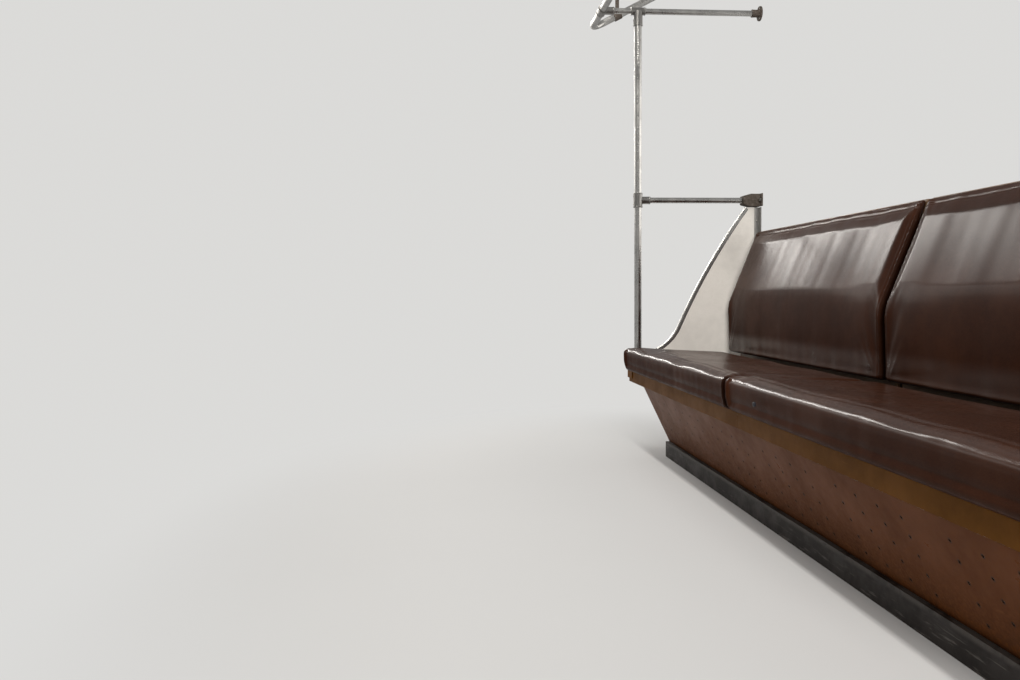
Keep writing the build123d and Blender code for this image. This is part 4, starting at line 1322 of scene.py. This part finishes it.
def lay_floor(scene):
    """A pale floor that keeps the bench's shadow, and fades into the backdrop at a distance.
    Farther out its colour turns nearly black: painted shade that sends no lamp light back to the
    bench and shows dark in its reflections.
    """
    sizes = settings().stage
    low, high = -FLOOR_HALF, FLOOR_HALF
    corners = np.array([[(low, low, 0), (high, low, 0)], [(low, high, 0), (high, high, 0)]], float)
    mesh = closed_mesh("floor", [(corners, False, False)])
    if mesh.polygons[0].normal.z < 0:
        mesh.flip_normals()
    floor = bpy.data.objects.new("floor", mesh)
    scene.collection.objects.link(floor)
    shader, vector = finish("floor_surface", Roughness=0.75)
    near = blend(noise(vector, 1.4, 3.0), sizes.floor, shade(sizes.floor, 0.97))
    oval = stretched(vector, (0.68, 1.0, 1.0))
    far = put("ShaderNodeVectorMath", {0: oval}, operation="LENGTH").outputs["Value"]
    # Painted shade: 2.1 to 2.6 m out on the oval the floor turns nearly black.
    base = blend(remap(far, 2.1, 2.6), near, (0.03, 0.03, 0.03))
    feed(shader, Base_Color=base)
    tree = vector.id_data
    fade = times(remap(far, 1.25, 2.1), seen_rays(tree))
    paled(tree, fade, "Principled BSDF", "ShaderNodeEmission", "Material Output")
    mesh.materials.append(material("floor_surface"))


def hang_backdrop(scene):
    """The world: a faint even light on the bench, and the backdrop's colour where it is seen."""
    scene.world = bpy.data.worlds.new("even_light")
    scene.world.use_nodes = True
    tree = scene.world.node_tree
    light = tree.nodes["Background"].inputs
    light["Color"].default_value = WORLD_COLOUR
    light["Strength"].default_value = settings().stage.world
    paled(tree, seen_rays(tree), "Background", "ShaderNodeBackground", "World Output")


def set_camera(scene):
    """The camera: it looks along -X, turned towards the bench and dipped."""
    sizes = settings().stage
    eye = bpy.data.cameras.new("camera")
    eye.lens, eye.sensor_width, eye.sensor_fit = sizes.lens, 36.0, "HORIZONTAL"
    eye.clip_start, eye.clip_end = 0.05, 100.0
    scene.camera = bpy.data.objects.new("camera", eye)
    scene.collection.objects.link(scene.camera)
    turn, dip = sizes.camera_turn, sizes.camera_dip
    look = Vector((-np.cos(turn) * np.cos(dip), np.sin(turn) * np.cos(dip), -np.sin(dip)))
    scene.camera.matrix_world = (
        Matrix.Translation(sizes.camera_at)
        @ look.to_track_quat("-Z", "Y").to_matrix().to_4x4()
        @ Matrix.Rotation(sizes.camera_roll, 4, "Z")
    )


class BENCH_OT_stage(bpy.types.Operator):
    """Make the floor, the even background, the lamps and the camera"""

    bl_idname = "bench.stage"
    bl_label = "Stage"

    def execute(self, context):
        lay_floor(context.scene)
        hang_backdrop(context.scene)
        for name, setting, *where in LAMPS:
            soft_lamp(name, getattr(settings().stage, setting), *where)
        set_camera(context.scene)
        context.scene.view_settings.view_transform = "Standard"
        return {"FINISHED"}


class BENCH_PT_panel(bpy.types.Panel):
    """The bench's operators"""

    bl_idname = "BENCH_PT_panel"
    bl_label = "Metro bench"
    bl_space_type = "VIEW_3D"
    bl_region_type = "UI"
    bl_category = "Metro bench"

    def draw(self, context):
        column = self.layout.column()
        column.prop(settings(), "simulate")
        for operator in OPERATORS:
            column.operator(operator.bl_idname)


OPERATORS = (
    BENCH_OT_stage,
    BENCH_OT_finishes,
    BENCH_OT_seat_cushions,
    BENCH_OT_back_pads,
    BENCH_OT_screen_trims,
    BENCH_OT_tube_rings,
    BENCH_OT_fasteners,
)
CLASSES = (
    PadSettings,
    TrimSettings,
    FittingSettings,
    FinishSettings,
    StageSettings,
    BenchSettings,
    *OPERATORS,
    BENCH_PT_panel,
)


def register():
    """Adds the classes and the scene's settings to Blender."""
    for item in CLASSES:
        bpy.utils.register_class(item)
    bpy.types.Scene.metro_bench = PointerProperty(type=BenchSettings)


def unregister():
    """Takes the settings and classes out again."""
    del bpy.types.Scene.metro_bench
    for item in reversed(CLASSES):
        bpy.utils.unregister_class(item)


def main():
    """Dresses the bench."""
    register()
    bpy.ops.bench.stage()
    bpy.ops.bench.finishes()
    bpy.ops.bench.seat_cushions()
    bpy.ops.bench.back_pads()
    bpy.ops.bench.screen_trims()
    bpy.ops.bench.tube_rings()
    bpy.ops.bench.fasteners()


if __name__ == "__main__":
    main()
